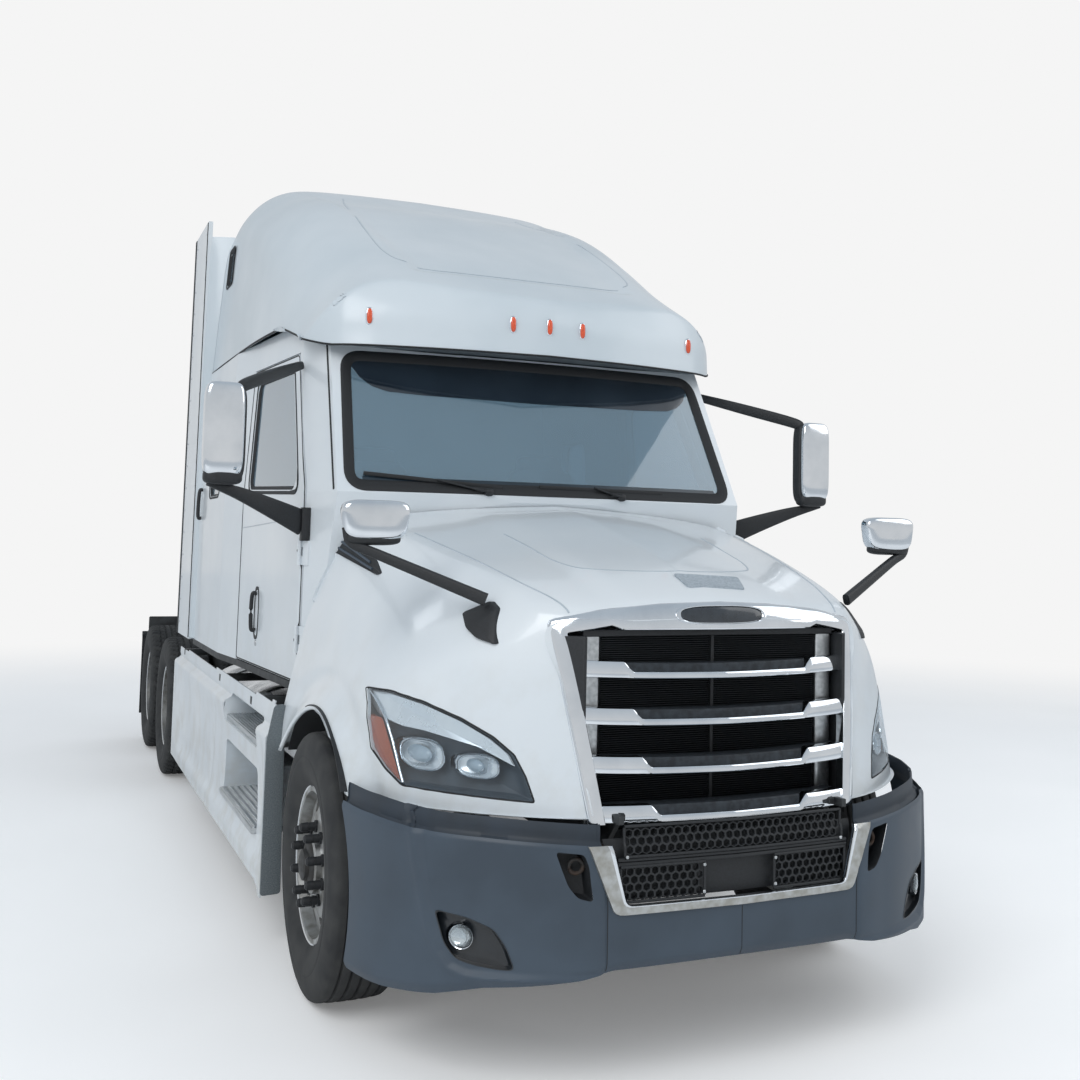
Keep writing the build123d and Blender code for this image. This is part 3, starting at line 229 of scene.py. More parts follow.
NODE_FINISHES = {
    "frame": chassis_paint, "axles": cast_iron, "suspension": chassis_paint, "fifth_wheel_base": chassis_paint,
    "engine_block": cast_iron, "radiator": fin_black, "fuel_tanks": polished, "cab_steps": brushed,
    "deck_plate": brushed, "cab_floor": chassis_paint, "cab_front": body_paint, "cab_sides": body_paint,
    "cab_back": body_paint, "roof_cap": body_paint, "side_fairings": body_paint, "side_extenders": body_paint,
    "cab_glass": glass, "cab_mirrors": black_plastic, "dashboard": cabin_plastic, "steering_wheel": black_plastic,
    "seats": cabin_plastic, "bunk": cabin_plastic, "bumper": slate_plastic, "bumper_grille": black_plastic,
    "mud_flaps": seal_rubber, "hood": body_paint, "grille": chrome, "hood_mirrors": black_plastic,
    "headlamps": chrome, "fog_lamps": black_plastic, "grille_trim": brushed, "fifth_wheel": greased_steel}
for side in ("left", "right"):
    NODE_FINISHES |= {
        f"door_{side}": body_paint, f"door_glass_{side}": glass, f"knuckle_{side}": cast_iron,
        f"front_tyre_{side}": tyre_rubber, f"front_rim_{side}": rim_metal,
        f"front_drive_tyres_{side}": tyre_rubber, f"front_drive_rims_{side}": rim_metal,
        f"rear_drive_tyres_{side}": tyre_rubber, f"rear_drive_rims_{side}": rim_metal}
for name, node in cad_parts.items():
    for cad_slot in node.material_slots:
        cad_slot.material = NODE_FINISHES[name]

# ================================================================ roof cap
# A moulded glass-fibre cap over the cab and sleeper, painted white; its paint is drawn in a darker, bluer tone of the
# white, which is painted shade. Its front is a visor band with a crisp crease above it; behind the crease a shallow
# panel is let into the slope. It is bonded on along a dark seam.
def place(points):
    """Millimetres from the ground under the front axle to metres in the model's frame: divide, then add AXLE to y."""
    return np.asarray(points, float) / 1000 + (0, AXLE, 0)


def grid(points, round_rows=False, round_columns=False):
    """A grid of points and its four-sided faces: each point joins the next along its row and the next row."""
    rows, columns = points.shape[:2]
    i, j = np.meshgrid(np.arange(rows - (not round_rows)), np.arange(columns - (not round_columns)), indexing="ij")
    k, l = (i + 1) % rows, (j + 1) % columns
    faces = np.stack([i * columns + j, i * columns + l, k * columns + l, k * columns + j], -1).reshape(-1, 4)
    return points.reshape(-1, 3), faces.tolist()


def bar(outline, axis, low, high):
    """A straight bar: an outline of two coordinates, carried from low to high along the axis that it leaves out."""
    ends = [np.insert(np.asarray(outline, float), axis, at, axis=1) for at in (low, high)]
    points, faces = grid(np.stack(ends), round_columns=True)
    count = len(outline)
    return points, faces + [list(range(count)), list(range(2 * count - 1, count - 1, -1))]


def mirrored(part):
    """The same part on the other side of the truck: every x changes sign and every face turns round."""
    points, faces = part
    return points * (-1, 1, 1), [face[::-1] for face in faces]


def both(parts):
    """The parts with their mirror images."""
    return parts + [mirrored(part) for part in parts]


def on_side(parts, side):
    """Parts drawn on the left, or their mirror images for the right."""
    return parts if side == "left" else [mirrored(part) for part in parts]


def outline_reach(outline, a, b):
    """The distance from each (a, b) to a closed outline, negative inside it: the nearest of its edges gives the
    distance, and the number of edges crossed by a ray along a gives the sign."""
    outline = np.asarray(outline, float)
    best, crossed = np.full(np.shape(a), 1e9), np.zeros(np.shape(a), int)
    for (pa, pb), (qa, qb) in zip(outline, np.roll(outline, -1, 0)):
        run = (qa - pa)**2 + (qb - pb)**2
        t = np.clip(((a - pa) * (qa - pa) + (b - pb) * (qb - pb)) / run, 0, 1)
        best = np.minimum(best, np.hypot(a - pa - t * (qa - pa), b - pb - t * (qb - pb)))
        spans = (pb > b) != (qb > b)
        at = pa + (b - pb) / np.where(qb == pb, 1, qb - pb) * (qa - pa)
        crossed += spans & (a < at)
    return np.where(crossed % 2, -best, best)


def opened(part, outline, axes=(0, 2), where=None):
    """A sheet with a hole in it. The outline is given on two axes, alike on both sides of the truck. Faces inside
    it are dropped, and those across its edge are cut where the distance, read along their edges, passes zero."""
    points, faces = part
    value = outline_reach(outline, *(np.abs(points[:, axis]) if axis == 0 else points[:, axis] for axis in axes))
    if where is not None:
        value = np.where(where(points), value, 1e3)
    kept, cuts, added = [], {}, []
    for face in faces:
        if all(value[corner] >= 0 for corner in face):
            kept.append(face)
        elif any(value[corner] >= 0 for corner in face):
            ring = []
            for one, two in zip(face, face[1:] + face[:1]):
                if value[one] >= 0:
                    ring.append(one)
                if (value[one] >= 0) != (value[two] >= 0):
                    key = (min(one, two), max(one, two))
                    if key not in cuts:
                        share = value[one] / (value[one] - value[two])
                        cuts[key] = len(points) + len(added)
                        added.append(points[one] + (points[two] - points[one]) * share)
                    ring.append(cuts[key])
            kept.append(ring)
    return np.concatenate([points, np.array(added).reshape(-1, 3)]), kept


def rounded(outline, radius, steps=6):
    """An outline with its corners rounded: at each corner, the curve (1-t)^2 a + 2t(1-t) corner + t^2 b, where a and b
    lie the radius away from the corner on its two sides."""
    outline = np.asarray(outline, float)
    before, after = np.roll(outline, 1, 0) - outline, np.roll(outline, -1, 0) - outline
    reach = np.minimum(radius, 0.45 * np.minimum(np.linalg.norm(before, axis=1), np.linalg.norm(after, axis=1)))
    a = outline + before / np.linalg.norm(before, axis=1)[:, None] * reach[:, None]
    b = outline + after / np.linalg.norm(after, axis=1)[:, None] * reach[:, None]
    t = np.linspace(0, 1, steps)[None, :, None]
    return ((1 - t)**2 * a[:, None] + 2 * t * (1 - t) * outline[:, None] + t**2 * b[:, None]).reshape(-1, 2)


def piece(name, parts, body, material, wall=0, bevel=0, sharp=35, stands_for=(), offset=-1, subdivide=0,
          outward=True):
    """One object from parts, each (points, faces) in millimetres. wall thickens an open sheet and bevel rounds
    sharp edges. Everything is worked into the mesh before it is finished."""
    made = new_object(name, parts, outward)
    if subdivide:
        made.modifiers.new("soften", "SUBSURF").levels = subdivide
        made.modifiers["soften"].render_levels = subdivide
    if wall:
        thick = made.modifiers.new("wall", "SOLIDIFY")
        thick.thickness, thick.offset, thick.use_quality_normals = wall / 1000, offset, True
    if bevel:
        edge = made.modifiers.new("edge", "BEVEL")
        edge.width, edge.segments, edge.limit_method, edge.angle_limit = bevel / 1000, 3, "ANGLE", radians(40)
    if made.modifiers:
        shape = bpy.data.meshes.new_from_object(made.evaluated_get(bpy.context.evaluated_depsgraph_get()))
        made.modifiers.clear()
        made.data = shape
    made.data.polygons.foreach_set("use_smooth", np.ones(len(made.data.polygons), bool))
    made.data.set_sharp_from_angle(angle=radians(sharp))
    made.data.materials.clear()
    made.data.materials.append(material)
    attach(made, body)
    if stands_for:
        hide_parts(*stands_for)
    return made


def new_object(name, parts, outward):
    """Joins parts into one mesh, merges points that coincide, and turns its faces outward."""
    points, faces, start = [], [], 0
    for part_points, part_faces in parts:
        points.append(place(part_points))
        faces += [[corner + start for corner in face] for face in part_faces]
        start += len(part_points)
    mesh = bpy.data.meshes.new(name)
    mesh.from_pydata(np.concatenate(points).tolist(), [], faces)
    work = bmesh.new()
    work.from_mesh(mesh)
    bmesh.ops.remove_doubles(work, verts=work.verts, dist=2e-5)
    bmesh.ops.dissolve_degenerate(work, edges=work.edges, dist=1e-6)
    if outward:
        bmesh.ops.recalc_face_normals(work, faces=work.faces)
    work.to_mesh(mesh)
    work.free()
    made = bpy.data.objects.new(name, mesh)
    bpy.context.scene.collection.objects.link(made)
    return made


def through(table, at):
    """Rows of a table as a smooth curve: cubic Hermite between the stations in its first column, with the slope at
    each station taken from its neighbours. Beyond either end the last row holds."""
    table = np.asarray(table, float)
    stations, values = table[:, 0], table[:, 1:]
    slopes = np.gradient(values, stations, axis=0)
    at = np.clip(np.asarray(at, float), stations[0], stations[-1])
    i = np.clip(np.searchsorted(stations, at) - 1, 0, len(stations) - 2)
    gap = (stations[i + 1] - stations[i])[..., None]
    t = (at[..., None] - stations[i][..., None]) / gap
    return ((2 * t**3 - 3 * t**2 + 1) * values[i] + (t**3 - 2 * t**2 + t) * gap * slopes[i]
            + (3 * t**2 - 2 * t**3) * values[i + 1] + (t**3 - t**2) * gap * slopes[i + 1])


def bent(x, knots, values, radii):
    """Straight runs through the knots with each corner rounded: the first run, plus at each inner knot the change of
    slope times the soft ramp (t + sqrt(t^2 + r^2)) / 2, where t is the distance past the knot."""
    slopes = [(values[i + 1] - values[i]) / (knots[i + 1] - knots[i]) for i in range(len(knots) - 1)]
    total = values[0] + slopes[0] * (x - knots[0])
    for i in range(1, len(slopes)):
        past = x - knots[i]
        total = total + (slopes[i] - slopes[i - 1]) * (past + np.sqrt(past**2 + radii[i - 1]**2)) / 2
    return total


def blunt(a, b, radius):
    """The greater of two forms with the edge between them rounded: (a + b + sqrt((a - b)^2 + r^2)) / 2."""
    return (a + b + np.sqrt((a - b)**2 + radius**2)) / 2


def step(x, low, high):
    """A smooth step from 0 at low to 1 at high: 3 t^2 - 2 t^3."""
    t = np.clip((x - low) / (high - low), 0, 1)
    return t * t * (3 - 2 * t)


def slope_of(form, points, reach=1.0):
    """The gradient of a form at each point, by central differences."""
    around = [(form(points + shift) - form(points - shift)) / (2 * reach) for shift in np.eye(3) * reach]
    return np.stack(around, -1)


def settle(points, form, free, level=0.0, rounds=12):
    """Moves points on to a form's surface by Newton steps along its gradient, only along the axes that are free."""
    for _ in range(rounds):
        steepness = slope_of(form, points) * free
        size = np.maximum((steepness**2).sum(-1), 0.04)
        move = ((form(points) - level) / size)[..., None] * steepness
        points = points - np.clip(move, -60, 60)
    return points


def meet(form, points, axis, low, high, level=0.0):
    """Where each point lands on a form when it is moved along one axis: 40 halvings of the way from low to high.
    The form is over the level at low and under it at high."""
    points = np.array(points, float)
    low, high = np.full(points.shape[:-1], float(low)), np.full(points.shape[:-1], float(high))
    for _ in range(40):
        points[..., axis] = (low + high) / 2
        outside = form(points) > level
        low, high = np.where(outside, points[..., axis], low), np.where(outside, high, points[..., axis])
    return points


# Each section: back, foot out, shoulder out, shoulder height, top out, top height.
ROOF_SECTIONS = [
    (480, 1100, 1075, 2700, 760, 2835), (1000, 1125, 1015, 2900, 720, 3140), (1500, 1145, 1060, 3130, 780, 3400),
    (2000, 1160, 1095, 3380, 800, 3640), (2500, 1170, 1105, 3560, 815, 3810), (2950, 1178, 1108, 3700, 820, 3950),
    (3450, 1184, 1108, 3660, 820, 3895)]
ROOF_NOSE_OUT, ROOF_NOSE_BACK = (0, 500, 975, 1080, 1250), (528, 574, 700, 850, 1500)
ROOF_NOSE_RADII, ROOF_CROWN_RADII = (200, 90, 60), (200, 90, 110)
LEAN_ABOVE, TUCK_BELOW = 2790, 2700
ROOF_FOOT, ROOF_BACK = 2600, 3450
PANEL = {"out": 560, "front": 800, "back": 2300, "depth": 20, "edge": 20}


def roof_form(points):
    """Outside is positive. The crown and the sides, as heights and widths by station, blunted together, then cut
    by the visor's plan curve, which leans back above its middle."""
    x, y, z = np.abs(points[..., 0]), points[..., 1], points[..., 2]
    foot, shoulder, shoulder_height, top, top_height = np.moveaxis(through(ROOF_SECTIONS, y), -1, 0)
    knots = (0, top * 0.5, top, shoulder * 0.55 + top * 0.45, shoulder)
    levels = (top_height + 12, top_height + 9, top_height, shoulder_height * 0.25 + top_height * 0.75, shoulder_height)
    crown = bent(x, knots, levels, ROOF_CROWN_RADII)
    steep = bent(x + 1, knots, levels, ROOF_CROWN_RADII) - crown
    inside = step(PANEL["out"] - x + 0.10 * (y - PANEL["front"]), -PANEL["edge"], PANEL["edge"])
    inside = (inside * step(y, PANEL["front"] + 0.06 * x, PANEL["front"] + 50 + 0.06 * x)
              * step(-y, -PANEL["back"] - 400, -PANEL["back"]))
    over = (z - crown + PANEL["depth"] * inside) / np.sqrt(1 + steep**2)
    beside = x - (shoulder + (foot - shoulder) * (shoulder_height - z) / (shoulder_height - ROOF_FOOT))
    visor = bent(x, ROOF_NOSE_OUT, ROOF_NOSE_BACK, ROOF_NOSE_RADII)
    turn = bent(x + 1, ROOF_NOSE_OUT, ROOF_NOSE_BACK, ROOF_NOSE_RADII) - visor
    lean = (0.4 * (z - LEAN_ABOVE + np.sqrt((z - LEAN_ABOVE)**2 + 1600)) / 2
            - 0.25 * (TUCK_BELOW - z + np.sqrt((z - TUCK_BELOW)**2 + 900)) / 2 * 0.3)
    ahead = (visor + lean - y) / np.sqrt(1 + turn**2)
    return blunt(blunt(over, beside, 50), ahead, 7)


def spread(guides, rows, columns):
    """A grid through guide lines: smooth across the guides and smooth along each one."""
    guides = np.asarray(guides, float)
    count, stations = guides.shape[:2]
    along = through(np.column_stack([np.arange(stations), guides.transpose(1, 0, 2).reshape(stations, -1)]),
                    np.linspace(0, stations - 1, columns)).reshape(columns, count, 3)
    return through(np.column_stack([np.arange(count), along.transpose(1, 0, 2).reshape(count, -1)]),
                   np.linspace(0, count - 1, rows)).reshape(rows, columns, 3)


def both_sides(half):
    """A grid drawn on the left, its last row on the middle plane, with its mirror image added after it."""
    return np.concatenate([half, half[-2::-1] * (-1, 1, 1)])


# The seam under the cap, as (back, height): level along the sleeper, dipping to the visor.
SEAM_BACKS, SEAM_HEIGHTS = (300, 790, 1400, 4500), (2628, 2643, 2802, 2802)
roof_guides = [
    [(1107, 960, 2690), (1125, 1250, 2770), (1150, 1700, 2802), (1165, 2300, 2802), (1180, 2900, 2802),
     (1184, ROOF_BACK, 2802)],
    [(1075, 880, 2740), (1080, 1200, 2900), (1110, 1650, 3000), (1130, 2250, 3100), (1140, 2900, 3200),
     (1145, ROOF_BACK, 3200)],
    [(1010, 770, 2850), (1030, 1130, 2940), (1070, 1600, 3180), (1095, 2200, 3450), (1108, 2900, 3690),
     (1110, ROOF_BACK, 3650)],
    [(920, 690, 2885), (900, 1060, 3060), (940, 1550, 3320), (970, 2150, 3600), (990, 2900, 3850),
     (990, ROOF_BACK, 3800)],
    [(620, 600, 2880), (650, 1020, 3150), (680, 1520, 3400), (700, 2100, 3680), (710, 2900, 3940),
     (710, ROOF_BACK, 3890)],
    [(0, 560, 2878), (0, 1000, 3150), (0, 1500, 3410), (0, 2100, 3700), (0, 2900, 3960), (0, ROOF_BACK, 3907)]]
half = spread(roof_guides, 76, 112)
free = np.ones_like(half)
free[:, -1, 1] = 0
free[-1, :, 0] = 0
free[0, :, 2] = 0
half = settle(half, roof_form, free)
half[0, :, 2] = np.interp(half[0, :, 1], SEAM_BACKS, SEAM_HEIGHTS)
half = settle(half, roof_form, free, rounds=6)
roof_top = both_sides(half)
half_crease = half[:, 0]
# The visor band hangs from the crease to the seam, and its floor runs back to the cab over the windscreen.
VISOR_ROWS = 14
across = np.linspace(0, 1, VISOR_ROWS)[:, None]
crease_height = half_crease[:, 2]
seam_height = np.interp(half_crease[:, 1], SEAM_BACKS, SEAM_HEIGHTS)
band = np.repeat(half_crease[None], VISOR_ROWS, 0)
band[..., 2] = crease_height + (seam_height - crease_height) * across
free = np.ones_like(band)
free[..., 2] = 0
free[:, -1, 0] = 0
band = settle(band, roof_form, free)
band[0] = half_crease
band = both_sides(band.transpose(1, 0, 2))
ROOF_WINDOW = [(2955, 3315), (3185, 3315), (3185, 3545), (2987, 3545)]
roof_sides = opened(grid(roof_top), rounded(ROOF_WINDOW, 30), (1, 2), lambda points: np.abs(points[:, 0]) > 900)
# The cap's white paint is drawn darker and bluer than the body's: painted shade on the cap.
roof_shaded_paint = finish("roof_gelcoat_painted_shade", "#C9D2D8", "#BCC7CE", 900, 0.3, rough_other=0.42, detail=4.0,
                    Coat_Weight=0.4, Coat_Roughness=0.12)
# The cap's upright back wall, from its rear edge down to the seam.
back_rim = roof_top[:, -1]
share = np.linspace(0, 1, 16)[:, None, None]
back_wall = back_rim * (1 - share) + (back_rim * (1, 1, 0) + (0, 0, SEAM_HEIGHTS[-1])) * share
piece("roof_cap_shell", [roof_sides, grid(band), grid(back_wall)], "chassis", roof_shaded_paint, wall=14,
      sharp=38, stands_for=["roof_cap"])

# ================================================================ visor floor, seam and marker lamps
# The visor is closed underneath by a grey moulded panel that runs back to the windscreen's header. A dark sealed
# joint follows the cap all round, and five amber marker lamps sit on the visor's face in chromed cups.
rim = half_crease.copy()
rim[:, 2] = np.interp(rim[:, 1], SEAM_BACKS, SEAM_HEIGHTS)
free = np.ones_like(rim)
free[:, 2] = 0
free[-1, 0] = 0
rim = settle(rim, roof_form, free)
rim = np.concatenate([rim, rim[-2::-1] * (-1, 1, 1)])
back_edge = np.column_stack([rim[:, 0] * 0.90, np.maximum(rim[:, 1] + 90, 905 + 0 * rim[:, 1]), rim[:, 2] + 6])
share = np.linspace(0, 1, 8)[:, None, None]
drop = np.sin(np.pi * share) * (0, 0, 9)
visor_floor = (rim + (0, 10, 3)) * (1 - share) + back_edge * share + drop
piece("visor_floor", [grid(visor_floor)], "chassis", finish("grey_moulded_underside", "#7C858C", "#6C757C", 200, 0.5),
      wall=5, offset=0)


def circle_of(count):
    """Evenly spaced angles round a full turn."""
    return np.linspace(0, 2 * np.pi, count, endpoint=False)


def across_path(ahead, tilt):
    """Two directions square to a path at each point: its direction crossed with the tilt, and that crossed with the
    path's direction again."""
    ahead /= np.linalg.norm(ahead, axis=1)[:, None]
    side = np.cross(ahead, tilt)
    side /= np.linalg.norm(side, axis=1)[:, None]
    return side, np.cross(side, ahead)


def swept(rings, closed=False):
    """The rings of a bar joined into one skin, with a flat face on each end unless the bar is a closed loop."""
    points, faces = grid(rings, round_rows=closed, round_columns=True)
    sides = rings.shape[1]
    if not closed:
        faces += [list(range(sides)), list(range(len(points) - 1, len(points) - 1 - sides, -1))]
    return points, faces


def tube(path, radius, sides=14, closed=False):
    """A round bar along a path of points. Each ring lies across the path: radius times the cosine and sine of its
    angle along two directions square to the path's own."""
    path = np.asarray(path, float)
    ahead = np.gradient(path, axis=0) if not closed else np.roll(path, -1, 0) - np.roll(path, 1, 0)
    side, rise = across_path(ahead, (0.31, 0.17, 0.93))
    turn = circle_of(sides)
    radius = np.broadcast_to(radius, len(path))[:, None, None]
    rings = path[:, None] + radius * (np.cos(turn)[:, None] * side[:, None] + np.sin(turn)[:, None] * rise[:, None])
    return swept(rings, closed)


seam_line = np.concatenate([roof_top[0, ::-1], rim[1:-1], roof_top[-1]]) + (0, 0, -4)
piece("roof_seam", [tube(seam_line, 5, 8)], "chassis", seal_rubber, outward=True)


def squarish(value, power):
    """A cosine or sine raised to 2 / power with its sign kept: 2 keeps it round, and more makes it squarer."""
    return np.sign(value) * np.abs(value) ** (2 / power)


def egg(middle, half_sizes, power=2.0, rings=18, sides=28):
    """A rounded pod about a point: on each axis, the half size times a cosine or sine raised to 2 / power."""
    low = np.linspace(-np.pi / 2, np.pi / 2, rings)[:, None]
    turn = circle_of(sides)[None]
    wide = squarish(np.cos(low), power)
    x, y, z = wide * squarish(np.cos(turn), power), wide * squarish(np.sin(turn), power), squarish(np.sin(low), power)
    shape = np.stack([x, y, z + 0 * x], -1) * half_sizes
    return grid(shape + middle, round_columns=True)


# Amber acrylic lens with a moulded prism grain.
amber = finish("moulded_amber_acrylic", "#E0592E", "#C9431F", 5, 0.18, bump_mm=0.3, Coat_Weight=0.6)
lamp_cups, lamp_lenses = [], []
for out in (-830, -178, 0, 178, 830):
    face = meet(roof_form, [[out, 0, 2772]], 1, 300, 1100)[0]
    lamp_cups.append(egg(face, (17, 9, 42), 2.6))
    lamp_lenses.append(egg(face + (0, -5, 0), (13, 12, 36), 2.6))
piece("marker_lamp_cups", lamp_cups, "chassis", chrome)
piece("marker_lamp_lenses", lamp_lenses, "chassis", amber)

# ================================================================ hood and fenders
# One moulded hood that tilts forward with both fenders: a raised middle between two creases that run from the
# windscreen's corners to the grille's, sides that flare over the wheel arches, and an opening for each headlamp.
# Each section: back, top, crease out, crease height, side out, side height, fender out, fender height.
HOOD_SECTIONS = [
    (-1400, 1490, 540, 1450, 680, 1300, 1120, 1090), (-700, 1685, 690, 1640, 880, 1450, 1150, 1160),
    (0, 1850, 820, 1790, 1000, 1540, 1170, 1170), (700, 1975, 960, 1890, 1070, 1600, 1160, 1200)]
HOOD_PLAN_OUT, HOOD_PLAN_BACK = (0, 520, 700, 1050, 1150, 1207), (-1250, -1232, -1135, -830, -560, -330)
HOOD_PLAN_RADII = (160, 140, 120, 60)
HOOD_RAKE, HOOD_SIDE, HOOD_FOOT = np.tan(radians(8.5)), 1207, 860
WHEEL_HEIGHT, ARCH_RADIUS = 500, 590
HOOD_EDGE_HEIGHTS, HOOD_EDGE_BACKS = (800, 860, 1000, 1400, 1700, 1930, 2100), (645, 645, 640, 590, 500, 400, 385)


def hood_form(points):
    """Outside is positive. The top is a height by station and distance across, rounded at each crease; it is cut by
    the plan curve, which leans in with height, and a flare stands out round the wheel arch."""
    x, y, z = np.abs(points[..., 0]), points[..., 1], points[..., 2]
    top, crease, crease_height, side, side_height, fender, fender_height = np.moveaxis(through(HOOD_SECTIONS, y), -1, 0)
    knots = (0, crease * 0.55, crease, side, fender, fender + 45)
    levels = (top, top - 0.30 * (top - crease_height), crease_height, side_height, fender_height, fender_height - 130)
    radii = (260, 26, 90, 130)
    crown = bent(x, knots, levels, radii)
    steep = bent(x + 1, knots, levels, radii) - crown
    rise = 9 * step(-x, -400 - 0.12 * (y + 1000), -300) * step(-y, -330, -200) + 0 * z
    over = (z - crown - rise) / np.sqrt(1 + steep**2)
    front = bent(x, HOOD_PLAN_OUT, HOOD_PLAN_BACK, HOOD_PLAN_RADII)
    turn = bent(x + 1, HOOD_PLAN_OUT, HOOD_PLAN_BACK, HOOD_PLAN_RADII) - front
    lean = HOOD_RAKE * (z - 800)
    ahead = (front - y) / np.sqrt(1 + turn**2) + lean
    beside = x - HOOD_SIDE + lean
    ring = np.sqrt(y**2 + (z - WHEEL_HEIGHT)**2)
    flare = 20 * np.exp(-(((ring - ARCH_RADIUS - 8) / 48)**2)) * step(x, 900, 1050)
    valley = 12 * np.exp(-(((ring - ARCH_RADIUS - 110) / 50)**2)) * step(x, 950, 1080)
    return blunt(over, blunt(ahead, beside, 45), 55) - flare + valley


hood_guides = [
    [(1165, 645, 860), (1200, 100, 860), (1207, -330, 860), (1100, -700, 860), (860, -1020, 860), (503, -1240, 860)],
    [(1165, 643, 1060), (1180, 100, 1080), (1170, -330, 1080), (1080, -650, 1050), (840, -980, 1000),
     (520, -1225, 960)],
    [(1120, 610, 1250), (1110, 100, 1300), (1100, -300, 1250), (1020, -600, 1200), (830, -900, 1150),
     (548, -1185, 1110)],
    [(1070, 560, 1600), (1010, 100, 1560), (950, -300, 1480), (870, -620, 1400), (740, -900, 1320), (574, -1150, 1270)],
    [(930, 400, 1900), (835, 50, 1810), (770, -350, 1720), (690, -700, 1640), (640, -930, 1560), (600, -1108, 1470)],
    [(470, 390, 1940), (430, 0, 1845), (400, -400, 1760), (370, -750, 1660), (330, -980, 1590), (290, -1125, 1492)],
    [(0, 385, 1950), (0, 0, 1850), (0, -400, 1765), (0, -750, 1670), (0, -990, 1600), (0, -1135, 1500)]]
half = spread(hood_guides, 112, 132)
free = np.ones_like(half)
free[-1, :, 0] = 0
free[0, :, 2] = 0
free[:, 0, 1] = 0
free[:, -1, 0] = 0
free[:, -1, 2] = 0
half = settle(half, hood_form, free)
# The lower edge is lifted over the wheel, and the rows above it close up to make room.
arch_rise = np.sqrt(np.maximum(ARCH_RADIUS**2 - half[0, :, 1]**2, 0)) + WHEEL_HEIGHT - HOOD_FOOT
half[..., 2] += np.maximum(arch_rise, 0) * np.clip(1 - np.arange(112) / 48, 0, 1)[:, None]
free[0, arch_rise > -90, 1] = 0
for _ in range(4):
    half[:, 0, 1] = np.interp(half[:, 0, 2], HOOD_EDGE_HEIGHTS, HOOD_EDGE_BACKS)
    half = settle(half, hood_form, free, rounds=6)
hood_skin = both_sides(half)

# The headlamp opening's outline, as (across, height).
HEADLAMP = [(668, 905), (775, 909), (898, 914), (1012, 918), (1048, 962), (1073, 1017), (1077, 1116), (1066, 1216),
            (1021, 1221), (948, 1199), (854, 1155), (772, 1103), (718, 1050), (690, 985)]
hood_sheet = opened(grid(hood_skin), rounded(HEADLAMP, 8), (0, 2), lambda points: points[:, 1] < -350)
piece("hood_skin", [hood_sheet], "hood", body_paint, wall=12, sharp=40, stands_for=["hood"])

# The arch is lined with a black splash panel, and its lip is a rolled edge.
LINER_RADIUS = 601
sweep = np.linspace(radians(-5), radians(185), 60)


def arch(out, radius):
    """Points along the wheel arch at one distance across: the radius times the cosine and sine of the sweep."""
    return np.stack([np.full(60, out), radius * np.cos(sweep), WHEEL_HEIGHT + radius * np.sin(sweep)], -1)


liner = np.stack([arch(out, LINER_RADIUS) for out in np.linspace(720, 1165, 8)])
liner = liner[:, (liner[0, :, 2] > HOOD_FOOT) & (np.abs(liner[0, :, 1]) < 640)]
piece("arch_liners", both([grid(liner)]), "hood", black_plastic, wall=4, offset=0)
lip = arch(1150.0, ARCH_RADIUS + 1)
lip = lip[lip[:, 2] > HOOD_FOOT + 2]
lip = meet(hood_form, lip, 0, 1300, 700, level=-4)
piece("arch_lips", both([tube(lip, 9, 10)]), "hood", body_paint)

# ================================================================ grille
# Chromed ABS surround and four stepped bars, clipped to the hood, with a dark moulded shelf behind each bar. The
# radiator's fins show between them as fine dark lines.
def strip(one, two, profile, form, low, high, base=0.0, axis=1):
    """A band between two lines of (across, height) points with the same count. The profile lists, from the first
    line to the second, the share of the way over and how far the band stands out of the form there."""
    one, two = np.asarray(one, float), np.asarray(two, float)
    rows = []
    for share, level in profile:
        flat = one * (1 - share) + two * share
        start = np.insert(flat, axis, 0.0, axis=1)
        rows.append(meet(form, start, axis, low, high, level=base + level))
    return grid(np.stack(rows))


def dense(line, count):
    """A line of points with every straight run cut into count equal steps."""
    line = np.asarray(line, float)
    steps = np.linspace(0, 1, count, endpoint=False)[None, :, None]
    runs = line[:-1, None] * (1 - steps) + line[1:, None] * steps
    return np.concatenate([runs.reshape(-1, line.shape[1]), line[-1:]])


def both_ways(line):
    """A line drawn on the left from its outer end to the middle, carried on to the right."""
    line = np.asarray(line, float)
    return np.concatenate([line, line[-2::-1] * (-1, 1)])


# How far back the nose's surface is looked for, from in front of it to behind it.
NOSE = (-1500, -900)
SURROUND_OUTER = [(517, 842), (588, 1325), (606, 1448), (610, 1474), (603, 1489), (586, 1497), (440, 1527), (400, 1532),
                  (220, 1549), (0, 1557)]
SURROUND_INNER = [(462, 842), (535, 1325), (549, 1430), (552, 1443), (551, 1448), (545, 1450), (408, 1474), (372, 1461),
                  (220, 1461), (0, 1461)]
surround_profile = [(0, -18), (0, 1), (0.015, 4.5), (0.06, 7), (0.2, 8.5), (0.5, 9.5), (0.8, 8.5), (0.94, 7),
                    (0.985, 4), (1, 0), (1, -36)]
surround = strip(both_ways(dense(SURROUND_OUTER, 7)), both_ways(dense(SURROUND_INNER, 7)), surround_profile, hood_form,
                 *NOSE)
BAR_LOWS, BAR_MIDDLE, BAR_END, BAR_SAG = (844.5, 1000, 1155, 1308), 22, 54, 9
bars, shelves = [surround], []
